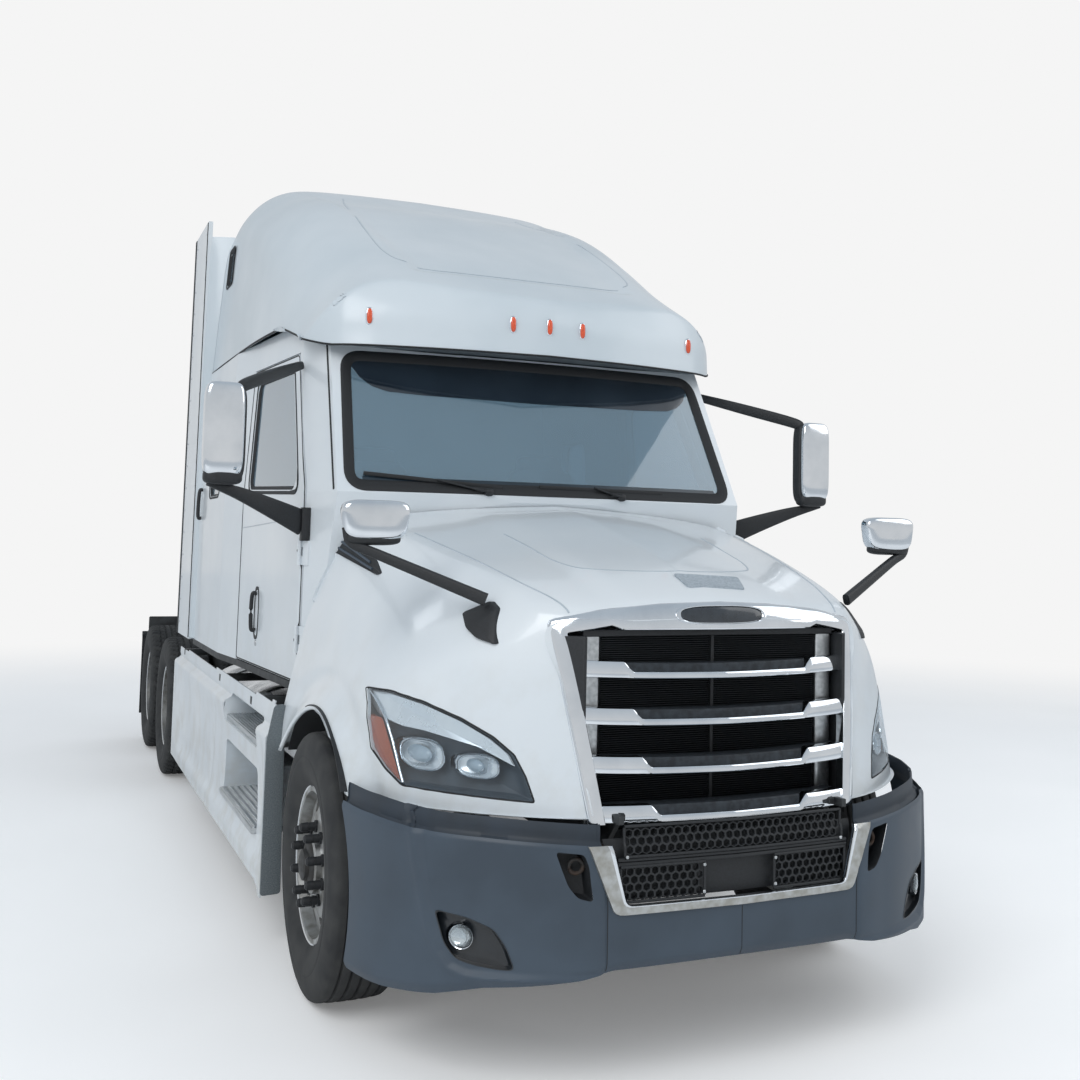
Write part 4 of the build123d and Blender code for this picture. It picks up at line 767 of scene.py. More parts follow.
for low in BAR_LOWS:
    edge = 462 + (low - 842) / (1447 - 842) * 90
    out = np.linspace(edge + 16, -edge - 16, 171)
    sag = (BAR_SAG if low > 900 else 3) * (1 - (out / edge)**2)
    foot = low - sag
    tall = BAR_MIDDLE + (BAR_END - BAR_MIDDLE) * np.clip((np.abs(out) - edge + 191) / 31, 0, 1)
    bar_profile = [(0, -34), (0, -5), (0.03, -1.5), (0.12, 0.5), (0.5, 0.5), (0.86, -2), (0.97, -5), (1, -9), (1, -38)]
    bars.append(strip(np.column_stack([out, foot]), np.column_stack([out, foot + tall]), bar_profile, hood_form,
                      *NOSE))
    shelf_profile = [(0, -110), (0, -36), (0.1, -34), (0.9, -34), (1, -37), (1, -110)]
    shelves.append(strip(np.column_stack([out, foot + 1]), np.column_stack([out, foot + 47]), shelf_profile, hood_form,
                         -1500, -800))
piece("grille_chrome", bars, "hood", chrome, sharp=30, stands_for=["grille"])
shelf_grey = finish("dusty_black_polypropylene", "#2A3138", "#1B2025", 24, 0.55, rough_other=0.7, bump_mm=0.2)
piece("grille_shelves", shelves, "hood", shelf_grey, sharp=30)

# The lugs that the hood tilts on, welded plates under the grille's bottom corners.
lug_outline = rounded([(-1236, 848), (-1183, 848), (-1172, 862), (-1183, 876), (-1236, 876)], 5)
hinge_lugs = [bar(lug_outline, 0, 422, 440), bar(lug_outline, 0, -440, -422)]
piece("hood_hinge_lugs", hinge_lugs, "hood", chassis_paint, bevel=1.5)


def disc(outline, form, levels, middle=None, low=-1500, high=-300, axis=1):
    """A filled face inside a closed outline of (across, height) points. Rings shrink towards the middle; levels
    lists each ring's size, from 1 down to 0, and how far it stands out of the form."""
    outline = np.asarray(outline, float)
    middle = outline.mean(0) if middle is None else np.asarray(middle, float)
    rings = []
    for size, level in levels:
        flat = middle + (outline - middle) * max(size, 0.002)
        rings.append(meet(form, np.insert(flat, axis, 0.0, axis=1), axis, low, high, level=level))
    return grid(np.stack(rings), round_columns=True)


def oval(middle, half_wide, half_high, power=2.4, count=64):
    """A rounded outline: its half sizes times the cosine and sine of the angle, each raised to 2 / power."""
    turn = circle_of(count)
    return np.column_stack([middle[0] + half_wide * squarish(np.cos(turn), power),
                            middle[1] + half_high * squarish(np.sin(turn), power)])


# A blank oval badge: a chromed rim round a dark enamelled plate.
BADGE = (0, 1512)
badge_rim = disc(oval(BADGE, 180, 33, 2.8), hood_form,
                 [(1, 2), (1, 12), (0.985, 15), (0.95, 16), (0.915, 15), (0.9, 12)], None, *NOSE)
badge_face = disc(oval(BADGE, 163, 27, 3.0), hood_form,
                  [(1, 10), (0.97, 12.5), (0.8, 13.5), (0.5, 14), (0, 14.3)], None, *NOSE)
piece("badge_rim", [badge_rim], "hood", chrome)
dark_enamel = finish("dark_enamelled_plate", "#20262C", "#2B3239", 40, 0.22, Coat_Weight=0.6)
piece("badge_plate", [badge_face], "hood", dark_enamel)

# ================================================================ radiator
# A brazed aluminium core with fine fins in two halves, a centre post, and a tank down each side. It stands on the
# frame behind the grille in a black shroud.
slats = []
for low in np.arange(838, 1440, 7.4):
    leaf = [(-1049, low), (-1037, low + 2.6), (-1037, low + 4.2), (-1049, low + 1.6)]
    slats += [bar(leaf, 0, -428, -7), bar(leaf, 0, 7, 428)]
core = bar([(-1036, 792), (-1036, 1438), (-927, 1438), (-927, 792)], 0, -430, 430)
piece("radiator_fins", slats + [core], "chassis", fin_black, stands_for=["radiator"])
tanks = [bar(rounded([(434, -1052), (500, -1052), (500, -927), (434, -927)], 14), 2, 792, 1440)]
posts = bar([(-6, -1052), (6, -1052), (6, -1038), (-6, -1038)], 2, 796, 1438)
header = bar(rounded([(-1056, 1436), (-1056, 1460), (-927, 1460), (-927, 1436)], 6), 0, -500, 500)
piece("radiator_tanks", tanks + [mirrored(tanks[0])], "chassis", brushed, bevel=2)
shroud_side = bar(rounded([(508, -1112), (520, -1112), (640, -940), (508, -940)], 8), 2, 800, 1440)
piece("radiator_shroud", [posts, header, shroud_side, mirrored(shroud_side)], "chassis", black_plastic,
      bevel=1.5)

# ================================================================ headlamps
# Each lamp is a dark grey bezel with a chromed brow along its top, two reflector bowls with projector lenses, an amber
# side marker behind a bright divider, and one clear acrylic cover over them all, set in a rubber gasket.
LAMP_FRONT, LAMP_BACK = -1450, -300


def facing(outline, levels, middle=None):
    """A disc on the hood's form, seen from the front."""
    return disc(outline, hood_form, levels, middle, LAMP_FRONT, LAMP_BACK)


lamp_rim = rounded(HEADLAMP, 8)
bezel_grey = finish("satin_grey_bezel", "#4C565F", "#3E474F", 80, 0.3, rough_other=0.4)
bezel = facing(lamp_rim, [(1.004, -14), (1.004, -5), (0.975, -8), (0.965, -14), (0.955, -40), (0.9, -52), (0.5, -58),
                          (0, -58)])
piece("headlamp_bezels", both([bezel]), "hood", bezel_grey, stands_for=["headlamps"])
gasket = np.array(dense(np.concatenate([lamp_rim, lamp_rim[:1]]), 2))[:-1]
gasket_path = meet(hood_form, np.insert(gasket, 1, 0.0, axis=1), 1, LAMP_FRONT, LAMP_BACK, level=-1.5)
piece("headlamp_gaskets", both([tube(gasket_path, 3.4, 8, closed=True)]), "hood", seal_rubber)

# The brow fills the top of the lamp down to a line that sweeps in from the marker.
BROW = [(1052, 1206), (1020, 1211), (946, 1189), (854, 1145), (776, 1094), (728, 1048), (712, 1010), (790, 1060),
        (870, 1082), (952, 1104), (1006, 1110), (1032, 1122)]
brow = facing(rounded(BROW, 8), [(1, -52), (1, -12), (0.96, -8), (0.6, -10), (0, -10)], middle=(905, 1118))
lamp_silver = finish("silvered_lamp_moulding", "#EDF1F4", "#E2E7EB", 90, 0.22, 0.55, rough_other=0.3)
piece("headlamp_brows", both([brow]), "hood", lamp_silver)
MARKER = [(1064, 1124), (1044, 1126), (1032, 1046), (1018, 962), (1012, 930), (1022, 940), (1054, 994), (1066, 1050)]
amber_block = facing(rounded(MARKER, 6), [(1, -50), (1, -9), (0.93, -6), (0.5, -7), (0, -7)], middle=(1040, 1060))
dark_amber = finish("dark_amber_acrylic", "#A84A22", "#93401D", 5, 0.2, bump_mm=0.3, Coat_Weight=0.4)
piece("headlamp_markers", both([amber_block]), "hood", dark_amber)
divider_line = dense([(1056, 1204), (1037, 1128), (1024, 1049), (1012, 962), (1006, 926)], 6)
divider = meet(hood_form, np.insert(divider_line, 1, 0.0, axis=1), 1, LAMP_FRONT, LAMP_BACK, level=-9)
piece("headlamp_dividers", both([tube(divider, 5, 10)]), "hood", chrome)

# Reflector bowls, each with a bright lip, a stepped wall and a projector lens.
lips, bowls, projectors = [], [], []
for middle, half_wide, half_high, depth in (((953, 1024), 53, 50, 46), ((812, 1003), 56, 38, 40)):
    egg_line = oval(middle, half_wide, half_high, 2.6, 48)
    lips.append(facing(egg_line, [(1.09, -46), (1.07, -18), (1.0, -13), (0.95, -18)]))
    bowls.append(facing(egg_line, [(0.95, -16), (0.86, -26), (0.84, -26), (0.7, -depth), (0.3, -depth - 6),
                                   (0, -depth - 8)]))
    small = oval(middle, half_high * 0.5, half_high * 0.5, 2.0, 36)
    projectors.append(facing(small, [(1.08, -44), (1.05, -24), (0.95, -20), (0.6, -13), (0.3, -11), (0, -10)]))
piece("headlamp_reflector_lips", both(lips), "hood", chrome)
piece("headlamp_reflectors", both(bowls), "hood", lamp_silver)
piece("headlamp_projectors", both(projectors), "hood",
      finish("projector_lens_glass", "#AEBBC4", "#97A6B1", 60, 0.05, Coat_Weight=1.0))

# The cover is acrylic too thin to bend light: it lets light straight through and shines at glancing angles.
lens_cover = bpy.data.materials.new("clear_acrylic_cover")
lens_cover.use_nodes = True
tree = lens_cover.node_tree
tree.nodes.clear()
clear_part = add(tree, "ShaderNodeBsdfTransparent", {"Color": colour("#EEF3F6")})
shine = add(tree, "ShaderNodeBsdfGlossy", {"Color": colour("#F4F8FB"), "Roughness": 0.04})
glance = add(tree, "ShaderNodeLayerWeight", {"Blend": 0.14})
amount = add(tree, "ShaderNodeMapRange", {"Value": glance.outputs["Facing"], "To Min": 0.03, "To Max": 0.7})
cover_mix = add(tree, "ShaderNodeMixShader", {0: amount.outputs[0], 1: clear_part.outputs[0], 2: shine.outputs[0]})
add(tree, "ShaderNodeOutputMaterial", {0: cover_mix.outputs[0]})
cover = facing(lamp_rim, [(0.992, -5), (0.99, 0), (0.975, 2.5)] + [(size, 3) for size in (0.9, 0.75, 0.6, 0.4, 0.2, 0)])
piece("headlamp_covers", both([cover]), "hood", lens_cover)

# ================================================================ bumper
# A moulded thermoplastic bumper that wraps round to the wheels. A J-shaped crease divides its front from its
# darker sides and turns in under each fog lamp; the lamp lies in a hollow under a brow. The lower edge climbs to
# the middle and the top edge dips, over a black recessed sill that fills the gap to the hood, its dark partly painted
# shade.
BUMPER_OUT = (0, 420, 560, 720, 1010, 1160, 1206)
BUMPER_BACK = (-1290, -1277, -1262, -1208, -1035, -740, -330)
BUMPER_HALF = 1210
BUMPER_ARCH = 612
TOP_OUT, TOP_HEIGHT = (0, 505, 676, 869, 1025, 1114, 1206), (786, 788, 799, 810, 815, 826, 838)
LOW_OUT, LOW_HEIGHT = (0, 450, 570, 667, 858, 1045, 1127, 1206), (402, 396, 376, 364, 346, 303, 286, 284)
J_CREASE = [(1032, 870), (1018, 728), (1000, 620), (982, 513), (963, 450), (935, 408), (890, 389), (797, 386),
            (700, 383), (500, 380)]
BROW_CREASE = [(1010, 588), (930, 586), (888, 582), (801, 563), (737, 536), (683, 497), (649, 462), (615, 420),
               (590, 370)]
FOG_POCKET = [(970, 574), (888, 560), (815, 530), (780, 477), (755, 408), (798, 407), (866, 416), (914, 430),
              (945, 476)]
TOW_SLOT = [(645, 775), (557, 765), (541, 724), (528, 618), (575, 630), (605, 667), (630, 732)]
LOWER_OPENING = [(416, 600), (479, 845)]


def reach_of(line, x, z):
    """The signed distance from each (x, z) to a line of points: negative on the side away from the truck's middle
    or below. The nearest of the line's straight runs decides it."""
    best = np.full(np.shape(x), 1e9)
    for (ax, az), (bx, bz) in zip(line[:-1], line[1:]):
        run = np.array([bx - ax, bz - az])
        length = np.hypot(*run)
        t = np.clip(((x - ax) * run[0] + (z - az) * run[1]) / length**2, 0, 1)
        away = np.hypot(x - ax - t * run[0], z - az - t * run[1])
        side = np.sign((x - ax) * run[1] - (z - az) * run[0])
        best = np.where(away < np.abs(best), away * side, best)
    return best


def bumper_relief(x, z):
    """How far the skin lies in from the plain bumper: 10 mm outside the J, 15 mm in the hollow under the brow, and
    more where its lower and upper edges roll in. Under the tow slot it stands out 7 mm, beside a 4 mm groove."""
    j, brow = reach_of(J_CREASE, x, z), reach_of(BROW_CREASE, x, z)
    side = 10 * step(j, -6, 18) - 3.5 * np.exp(-((j + 9) / 9)**2)
    hollow = 15 * step(brow, -5, 11) * step(-j, -2, 34) * step(x, 610, 800) * step(-x, -1004, -950)
    lower = 26 * step(np.interp(x, LOW_OUT, LOW_HEIGHT) + 34 - z, 0, 60)
    upper = 10 * step(z - np.interp(x, TOP_OUT, TOP_HEIGHT) + 13, 0, 22)
    middle = 7 * step(x, 474, 492) * step(-x, -640, -500) * step(-z, -700, -590)
    return side + hollow + lower + upper - middle + 4 * step(x, 478, 484) * step(-x, -500, -484)


def plain_bumper(points):
    """Outside is positive. An upright skin along the plan curve, rounded into its straight sides."""
    x, y = np.abs(points[..., 0]), points[..., 1]
    radii = (120, 60, 70, 90, 40)
    front = bent(x, BUMPER_OUT, BUMPER_BACK, radii)
    turn = bent(x + 1, BUMPER_OUT, BUMPER_BACK, radii) - front
    return blunt((front - y) / np.sqrt(1 + turn**2), x - BUMPER_HALF, 24)


def bumper_form(points):
    """The plain bumper less its relief."""
    return plain_bumper(points) + bumper_relief(np.abs(points[..., 0]), points[..., 2])


# Stations along the skin, from the wheel round to the middle, evenly spaced by length.
plan = np.array([(out, np.interp(out, BUMPER_OUT, BUMPER_BACK)) for out in BUMPER_OUT] + [(BUMPER_HALF, -250)])[::-1]
lengths = np.concatenate([[0], np.cumsum(np.hypot(*np.diff(plan, axis=0).T))])
along = np.linspace(0, lengths[-1], 300)
line = np.column_stack([np.interp(along, lengths, plan[:, 0]), np.interp(along, lengths, plan[:, 1])])
rise = np.linspace(0, 1, 86)[None, :]
half = np.zeros((300, 86, 3))
half[..., 0], half[..., 1] = line[:, :1], line[:, 1:]
low_edge, top_edge = np.interp(line[:, 0], LOW_OUT, LOW_HEIGHT), np.interp(line[:, 0], TOP_OUT, TOP_HEIGHT)
half[..., 2] = low_edge[:, None] * (1 - rise) + top_edge[:, None] * rise
# The skin ends at a circle round the wheel.
arch_edge = -np.sqrt(np.maximum(BUMPER_ARCH**2 - (half[..., 2] - WHEEL_HEIGHT)**2, 0))
share = np.clip(1 - along / 420, 0, 1)[:, None]
half[..., 1] += share * (arch_edge - half[0, 0, 1]) * (half[..., 1] > -1000)
free = np.ones_like(half)
free[..., 2] = 0
free[-1, :, 0] = 0
free[0, :, 1] = 0
half = settle(half, plain_bumper, free, rounds=16)
inward = slope_of(plain_bumper, half)
inward /= np.linalg.norm(inward, axis=-1)[..., None]
inward[-1, :, 0] = 0
half = half - inward * bumper_relief(half[..., 0], half[..., 2])[..., None]
bumper_sheet = grid(both_sides(half))
for outline in (rounded(TOW_SLOT, 14), rounded(FOG_POCKET, 18), LOWER_OPENING + [(0, 845), (0, 600)]):
    bumper_sheet = opened(bumper_sheet, outline)
piece("bumper_skin", [bumper_sheet], "chassis", slate_plastic, sharp=32,
      stands_for=["bumper"])

# The recessed black sill between the bumper's top edge and the hood, its dark partly painted shade of the gap.
sill = np.repeat(half[:, -1:], 7, 1)
sill[..., 2] += np.array([-30, -8, 2, 12, 28, 44, 60])[None] * step(1.0 * np.abs(sill[..., 0]), -1, 1)
sill_level = np.array([-16, -17, -24, -26, -26, -26, -30.0])
sill_free = free[:, :7]
for row in range(7):
    sill[:, row] = settle(sill[:, row], bumper_form, sill_free[:, row], level=sill_level[row], rounds=16)
sill_end = np.argmax(sill[:, 0, 0] < 482)
sill_side = grid(sill[:sill_end])
# The sill's dark slate is partly the moulding's own colour and partly painted shade of the gap under the hood.
sill_slate_shade = finish("sill_slate_painted_shade", "#232C35", "#2B3540", 120, 0.5, rough_other=0.6)
piece("bumper_sill", both([sill_side]), "chassis", sill_slate_shade, wall=4)

# ================================================================ lower grille, its frame and towing slots
# A satin stainless frame runs down each side and along the bottom of the lower grille, with a bright inner lip. The
# honeycomb panel itself is a moulding; behind it a black splash panel closes the view.
FRAME_OUTER = [(546, 790), (497, 668), (470, 602), (464, 588), (455, 578), (440, 572), (420, 571), (0, 571)]
FRAME_INNER = [(466, 790), (436, 672), (425, 628), (421, 615), (414, 606), (403, 601), (388, 600), (0, 600)]
frame_profile = [(0, -8), (0, -1), (0.02, 1.5), (0.08, 2.6), (0.5, 3), (0.8, 3)]
lip_profile = [(0.8, 3.0), (0.84, 4.5), (0.9, 5), (0.95, 4.5), (0.98, 2), (1, -2), (1, -14)]
frame_lines = both_ways(dense(FRAME_OUTER, 8)), both_ways(dense(FRAME_INNER, 8))
piece("lower_grille_frame", [strip(*frame_lines, frame_profile, bumper_form, -1500, -1000, base=7)], "chassis",
      finish("satin_stainless_strip", "#B9BBBA", "#A3A29C", 30, 0.3, 0.9, rough_other=0.45, bump_mm=0.05),
      sharp=30, stands_for=["grille_trim"])
piece("lower_grille_lip", [strip(*frame_lines, lip_profile, bumper_form, -1500, -1000, base=7)], "chassis", chrome,
      sharp=30)


def close_loop(corners, cuts):
    """A closed outline with every side cut into equal steps."""
    return dense(np.concatenate([corners, corners[:1]]), cuts)[:-1]


splash = dense([(480, 800), (466, 710), (440, 604)], 4)
splash_panel = np.stack([meet(bumper_form, np.column_stack([splash[:, 0] * side, 0 * splash[:, 0], splash[:, 1]]), 1,
                              *NOSE, level=-40) for side in np.linspace(1, -1, 40)])
piece("splash_panel", [grid(splash_panel)], "chassis", black_plastic, wall=2)


def honeycomb(left, right, low, high, pitch=29.0, hole=0.78, level=-14, depth=14):
    """A plate of six-sided cells that fill a rectangle: each cell is a ring of quads between its own outline and
    the hole's, and the hole's walls run back by the depth. Odd rows are shifted by half a pitch."""
    reach, cells = pitch / np.sqrt(3), []
    turn = np.radians(np.arange(6) * 60 + 30)
    corners = np.column_stack([np.cos(turn), np.sin(turn)]) * reach
    for row, height in enumerate(np.arange(low + reach, high - reach * 0.5, 1.5 * reach)):
        for across in np.arange(left + pitch * (0.5 + 0.5 * (row % 2)), right - pitch * 0.49, pitch):
            rings = []
            for size, back in ((1.0, 0), (hole, 0), (hole * 0.96, depth)):
                flat = corners * size + (across, height)
                rings.append(np.column_stack([flat[:, 0], np.full(6, -back), flat[:, 1]]))
            cells.append(np.stack(rings))
    cells = np.array(cells)
    backs = -cells[..., 1].copy()
    cells = meet(bumper_form, cells, 1, *NOSE, level=level)
    cells[..., 1] += backs
    return [grid(cell, round_columns=True) for cell in cells]


cells = honeycomb(-416, 416, 752, 842) + honeycomb(138, 428, 608, 716) + honeycomb(-428, -138, 608, 716)
rails = []
for left, right, low, high in ((-418, 418, 748, 842), (134, 432, 606, 716), (-432, -134, 606, 716)):
    ring = close_loop([(left, low), (right, low), (right, high), (left, high)], 24)
    rails.append(tube(meet(bumper_form, np.insert(ring, 1, 0.0, axis=1), 1, *NOSE, level=-13), 5, 8, closed=True))
for low in (724, 738):
    line = dense([(-440, 0, low), (440, 0, low)], 60)
    rails.append(tube(meet(bumper_form, line, 1, *NOSE, level=-18), 7, 8))
piece("lower_honeycomb", cells + rails, "chassis", black_plastic, sharp=30,
      stands_for=["bumper_grille"])
bolts = []
for across, height in ((-137, 706), (-137, 620), (137, 706), (137, 620), (-412, 748), (412, 748)):
    seat = meet(bumper_form, [[across, 0, height]], 1, *NOSE, level=-8)[0]
    bolts.append(egg(seat, (6, 4, 6), 2.2, 8, 12))
piece("lower_grille_bolts", bolts, "chassis", brushed)

# Each towing slot is a black moulded tray with a rolled lip, and a forged eye inside it.
tow_rim = rounded(TOW_SLOT, 14)
tray = disc(tow_rim, bumper_form, [(1.05, -9), (1.02, -3), (0.99, -6), (0.97, -45), (0.9, -60), (0.4, -64), (0, -64)],
            high=-800)
piece("tow_slot_trays", both([tray]), "chassis", black_plastic)
eye_place = meet(bumper_form, [[570, 0, 722]], 1, *NOSE, level=-34)[0]
turn = np.linspace(0, 2 * np.pi, 33)[:-1]
eye_path = eye_place + np.column_stack([22 * np.cos(turn), 6 * np.cos(turn), 22 * np.sin(turn)])
piece("tow_eyes", both([tube(eye_path, 7, 12, closed=True)]), "chassis", cast_iron)

# ================================================================ fog lamps
# Each sits in a dark tray: a round projector with a chromed ring and a clear lens.
FOG_DEPTH = -600
tray = disc(rounded(FOG_POCKET, 18), bumper_form,
            [(1.03, -9), (1.015, 1.5), (0.985, 1.5), (0.97, -3), (0.95, -22), (0.7, -26), (0, -26)], high=FOG_DEPTH)
piece("fog_lamp_trays", both([tray]), "chassis",
      finish("gloss_black_acrylic", "#14181C", "#1C2126", 60, 0.28, Coat_Weight=0.3),
      stands_for=["fog_lamps"])
FOG_PLACE, FOG_RADIUS = (898, 496), 37
circle = oval(FOG_PLACE, FOG_RADIUS * 0.82, FOG_RADIUS, 2.0, 40)
for label, levels, material in (
        ("rings", [(1.1, -24), (1.12, -12), (1.04, -7), (0.96, -9), (0.95, -16)], chrome),
        ("bowls", [(0.95, -12), (0.8, -20), (0.5, -24), (0, -25)], polished),
        ("lenses", [(0.97, -12), (0.9, -6), (0.6, -2), (0.3, 0), (0, 0.5)], clear_glass)):
    piece(f"fog_lamp_{label}", both([disc(circle, bumper_form, levels, high=FOG_DEPTH)]), "chassis", material)
# A seam each side of the bumper's middle section and one down its centre line.
seams = []
for line in ([(487, 776), (479, 600), (478, 398)], [(0, 566), (0, 404)], [(-487, 776), (-479, 600), (-478, 398)]):
    flat = dense(line, 24)
    path = meet(bumper_form, np.column_stack([flat[:, 0], 0 * flat[:, 0], flat[:, 1]]), 1, *NOSE, level=-0.4)
    seams.append(tube(path, 1.6, 6))
piece("bumper_seams", seams, "chassis", seal_rubber)

# ================================================================ windscreen
# Bonded glass in a black rubber seal, with a dark band along its top for the sun visors behind the glass and the
# painted shade under the roof's visor, and two wiper arms with blades.
def cad_surface(*names):
    """The named CAD nodes as one surface to cast rays at, in millimetres from the ground under the front axle."""
    points, faces = [], []
    for name in names:
        node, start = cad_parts[name], len(points)
        points += [(node.matrix_world @ corner.co - Vector((0, AXLE, 0))) * 1000 for corner in node.data.vertices]
        faces += [[start + corner for corner in face.vertices] for face in node.data.polygons]
    return BVHTree.FromPolygons(points, faces)


def laid(surface, points, axis, start, level=0.0):
    """Where rays along an axis, from start towards the truck, meet a surface, then back out by the level. A ray that
    misses takes its neighbours' depth."""
    points = np.array(points, float)
    flat = points.reshape(-1, 3)
    way = np.eye(3)[axis] * -np.sign(start)
    flat[:, axis] = start
    hits = [surface.ray_cast(Vector(point), Vector(way))[0] for point in flat]
    met = [i for i, hit in enumerate(hits) if hit is not None]
    flat[:, axis] = np.interp(np.arange(len(flat)), met, [hits[i][axis] for i in met]) - way[axis] * level
    return flat.reshape(points.shape)


def grown(outline, amount):
    """A closed outline moved outward by an amount, each point square to the line between its two neighbours."""
    along = np.roll(outline, -1, 0) - np.roll(outline, 1, 0)
    area = np.sum(outline[:, 0] * np.roll(outline[:, 1], -1) - outline[:, 1] * np.roll(outline[:, 0], -1))
    out = np.column_stack([along[:, 1], -along[:, 0]]) * np.sign(area)
    return outline + out / np.maximum(np.linalg.norm(out, axis=1), 1e-6)[:, None] * amount


def frame_strip(outline, outer, outer_grow, inner, inner_grow, profile, axis, start):
    """A moulded strip round an opening: it bridges from one surface, outside the outline, to another inside it. The
    profile lists the share of the way over and how far the strip stands out there."""
    lines = []
    for surface, amount in ((outer, outer_grow), (inner, inner_grow)):
        lines.append(laid(surface, np.insert(grown(outline, amount), axis, 0.0, axis=1), axis, start))
    way = np.eye(3)[axis] * np.sign(start)
    return grid(np.stack([lines[0] * (1 - share) + lines[1] * share + way * level for share, level in profile]),
                round_columns=True)


def close_outline(corners, radius, steps=8, cuts=10):
    """A rounded outline with its straight runs cut up, so that it can follow a curved surface."""
    line = rounded(corners, radius, steps)
    return dense(np.concatenate([line, line[:1]]), cuts)[:-1]


# Where the rays start that find the cab's front (back) and its left side (across).
FRONT_RAYS, SIDE_RAYS = -800, 2000
front_skin, glass_skin = cad_surface("cab_front"), cad_surface("cab_glass")
whole_front = cad_surface("cab_front", "cab_glass")
WINDSCREEN = [(-945, 1985), (945, 1985), (905, 2605), (-905, 2605)]
seal_section = [(0, -3), (0, 2), (0.06, 6), (0.2, 9), (0.45, 10), (0.7, 8), (0.9, 6), (1, 3), (1, -4)]
screen_line = close_outline(WINDSCREEN, 75)
seal = frame_strip(screen_line, front_skin, 24, glass_skin, -26, seal_section, 1, FRONT_RAYS)
piece("windscreen_seal", [seal], "chassis", seal_rubber)
# The dark band along the top stands for the sun visors behind the glass together with painted shade under the roof's
# visor.
BAND_OUT, BAND_LOW = (0, 560, 730, 800, 850, 872, 885), (2416, 2424, 2434, 2458, 2500, 2540, 2570)
across = np.linspace(-884, 884, 100)
band_top = np.interp(np.abs(across), (0, 840, 884), (2598, 2596, 2560))
band_foot = np.minimum(np.interp(np.abs(across), BAND_OUT, BAND_LOW), band_top - 4)
rows = [np.column_stack([across, 0 * across, band_top * (1 - t) + band_foot * t]) for t in np.linspace(0, 1, 12)]
header = laid(glass_skin, np.stack(rows), 1, FRONT_RAYS, 1.2)
piece("windscreen_header_band", [grid(header)], "chassis",
      finish("glass_band_visor_and_shade", "#16202A", "#212D38", 300, 0.12, rough_other=0.2, Coat_Weight=0.9),
      wall=1.5, offset=0)
cowl_rows = [np.column_stack([across, 0 * across, np.full(100, low)]) for low in (1998, 2004, 2012, 2022, 2026)]
piece("windscreen_foot_band", [grid(laid(glass_skin, np.stack(cowl_rows), 1, FRONT_RAYS, 1.0))], "chassis",
      finish("printed_glass_foot", "#1C2830", "#27343E", 200, 0.2), wall=1.5, offset=0)


def beam(path, wide, high, power=3.0, sides=20):
    """A moulded arm along a path. Each section is a rounded rectangle: half its width across and half its height up,
    times the cosine and sine of the angle raised to 2 / power."""
    path = np.asarray(path, float)
    side, rise = across_path(np.gradient(path, axis=0), (0, 0, 1.0))
    turn = circle_of(sides)
    wide, high = (np.broadcast_to(size, len(path))[:, None, None] for size in (wide, high))
    return swept(path[:, None] + wide * squarish(np.cos(turn), power)[:, None] * side[:, None]
                 + high * squarish(np.sin(turn), power)[:, None] * rise[:, None])


def curve_through(points, count=24):
    """A smooth path through a few points, evenly numbered along them."""
    points = np.asarray(points, float)
    at = np.arange(len(points))
    return through(np.column_stack([at, points]), np.linspace(0, len(points) - 1, count))


blades, arms = [], []
for start, end, pivot, hold in (((-880, 2040), (-258, 1994), (-330, 1972), (-560, 2022)),
                                ((-76, 2006), (565, 1998), (330, 1970), (200, 2012))):
    for ends, level, target, wide, high in (((start, end), 12, blades, 5, 9), ((pivot, hold), 24, arms, 9, 5)):
        line = dense([(ends[0][0], 0, ends[0][1]), (ends[1][0], 0, ends[1][1])], 20)
        target.append(beam(laid(whole_front, line, 1, FRONT_RAYS, level), wide, high))
    foot = laid(whole_front, [(pivot[0], 0, pivot[1])], 1, FRONT_RAYS, 14)[0]
    arms.append(egg(foot, (22, 16, 18), 2.4, 10, 16))
piece("wiper_blades", blades, "chassis", seal_rubber)
piece("wiper_arms", arms, "chassis", black_plastic)

# ================================================================ cab side: pillar seam, windows and sleeper
# A dark joint runs down each front pillar. The side windows sit in black rubber, which is widest behind the glass.
pillar_heights = np.linspace(1965, 2670, 40)
pillar = np.column_stack([0 * pillar_heights, 492 + (pillar_heights - 1955) * 0.572, pillar_heights])
pillar = laid(front_skin, pillar, 0, SIDE_RAYS, 0.5)
piece("pillar_seams", both([tube(pillar, 5, 8)]), "chassis", seal_rubber)
side_skin = cad_surface("cab_sides")
frame_section = [(0, -2), (0, 2), (0.1, 5), (0.4, 6), (0.75, 5), (1, 2), (1, -3)]
sleeper_line = close_outline([(2640, 1990), (3020, 1990), (3020, 2420), (2640, 2420)], 60)
sleeper = frame_strip(sleeper_line, side_skin, 14, glass_skin, -14, frame_section, 0, SIDE_RAYS)
piece("sleeper_window_frames", both([sleeper]), "chassis", seal_rubber)
roof_line = close_outline(ROOF_WINDOW, 30)
roof_frame = frame_strip(roof_line, cad_surface("roof_cap"), 12, glass_skin, -12, frame_section, 0, SIDE_RAYS)
piece("roof_window_frames", both([roof_frame]), "chassis", seal_rubber)
grab = laid(side_skin, [(0, 3330, 2045), (0, 3330, 2030), (0, 3330, 1880), (0, 3330, 1865)], 0, SIDE_RAYS)
grab = curve_through(grab + np.array([(0, 0, 0), (20, 0, 0), (20, 0, 0), (0, 0, 0)]), 20)
piece("sleeper_grab_handles", both([tube(grab, 11, 12)]), "chassis", black_plastic)
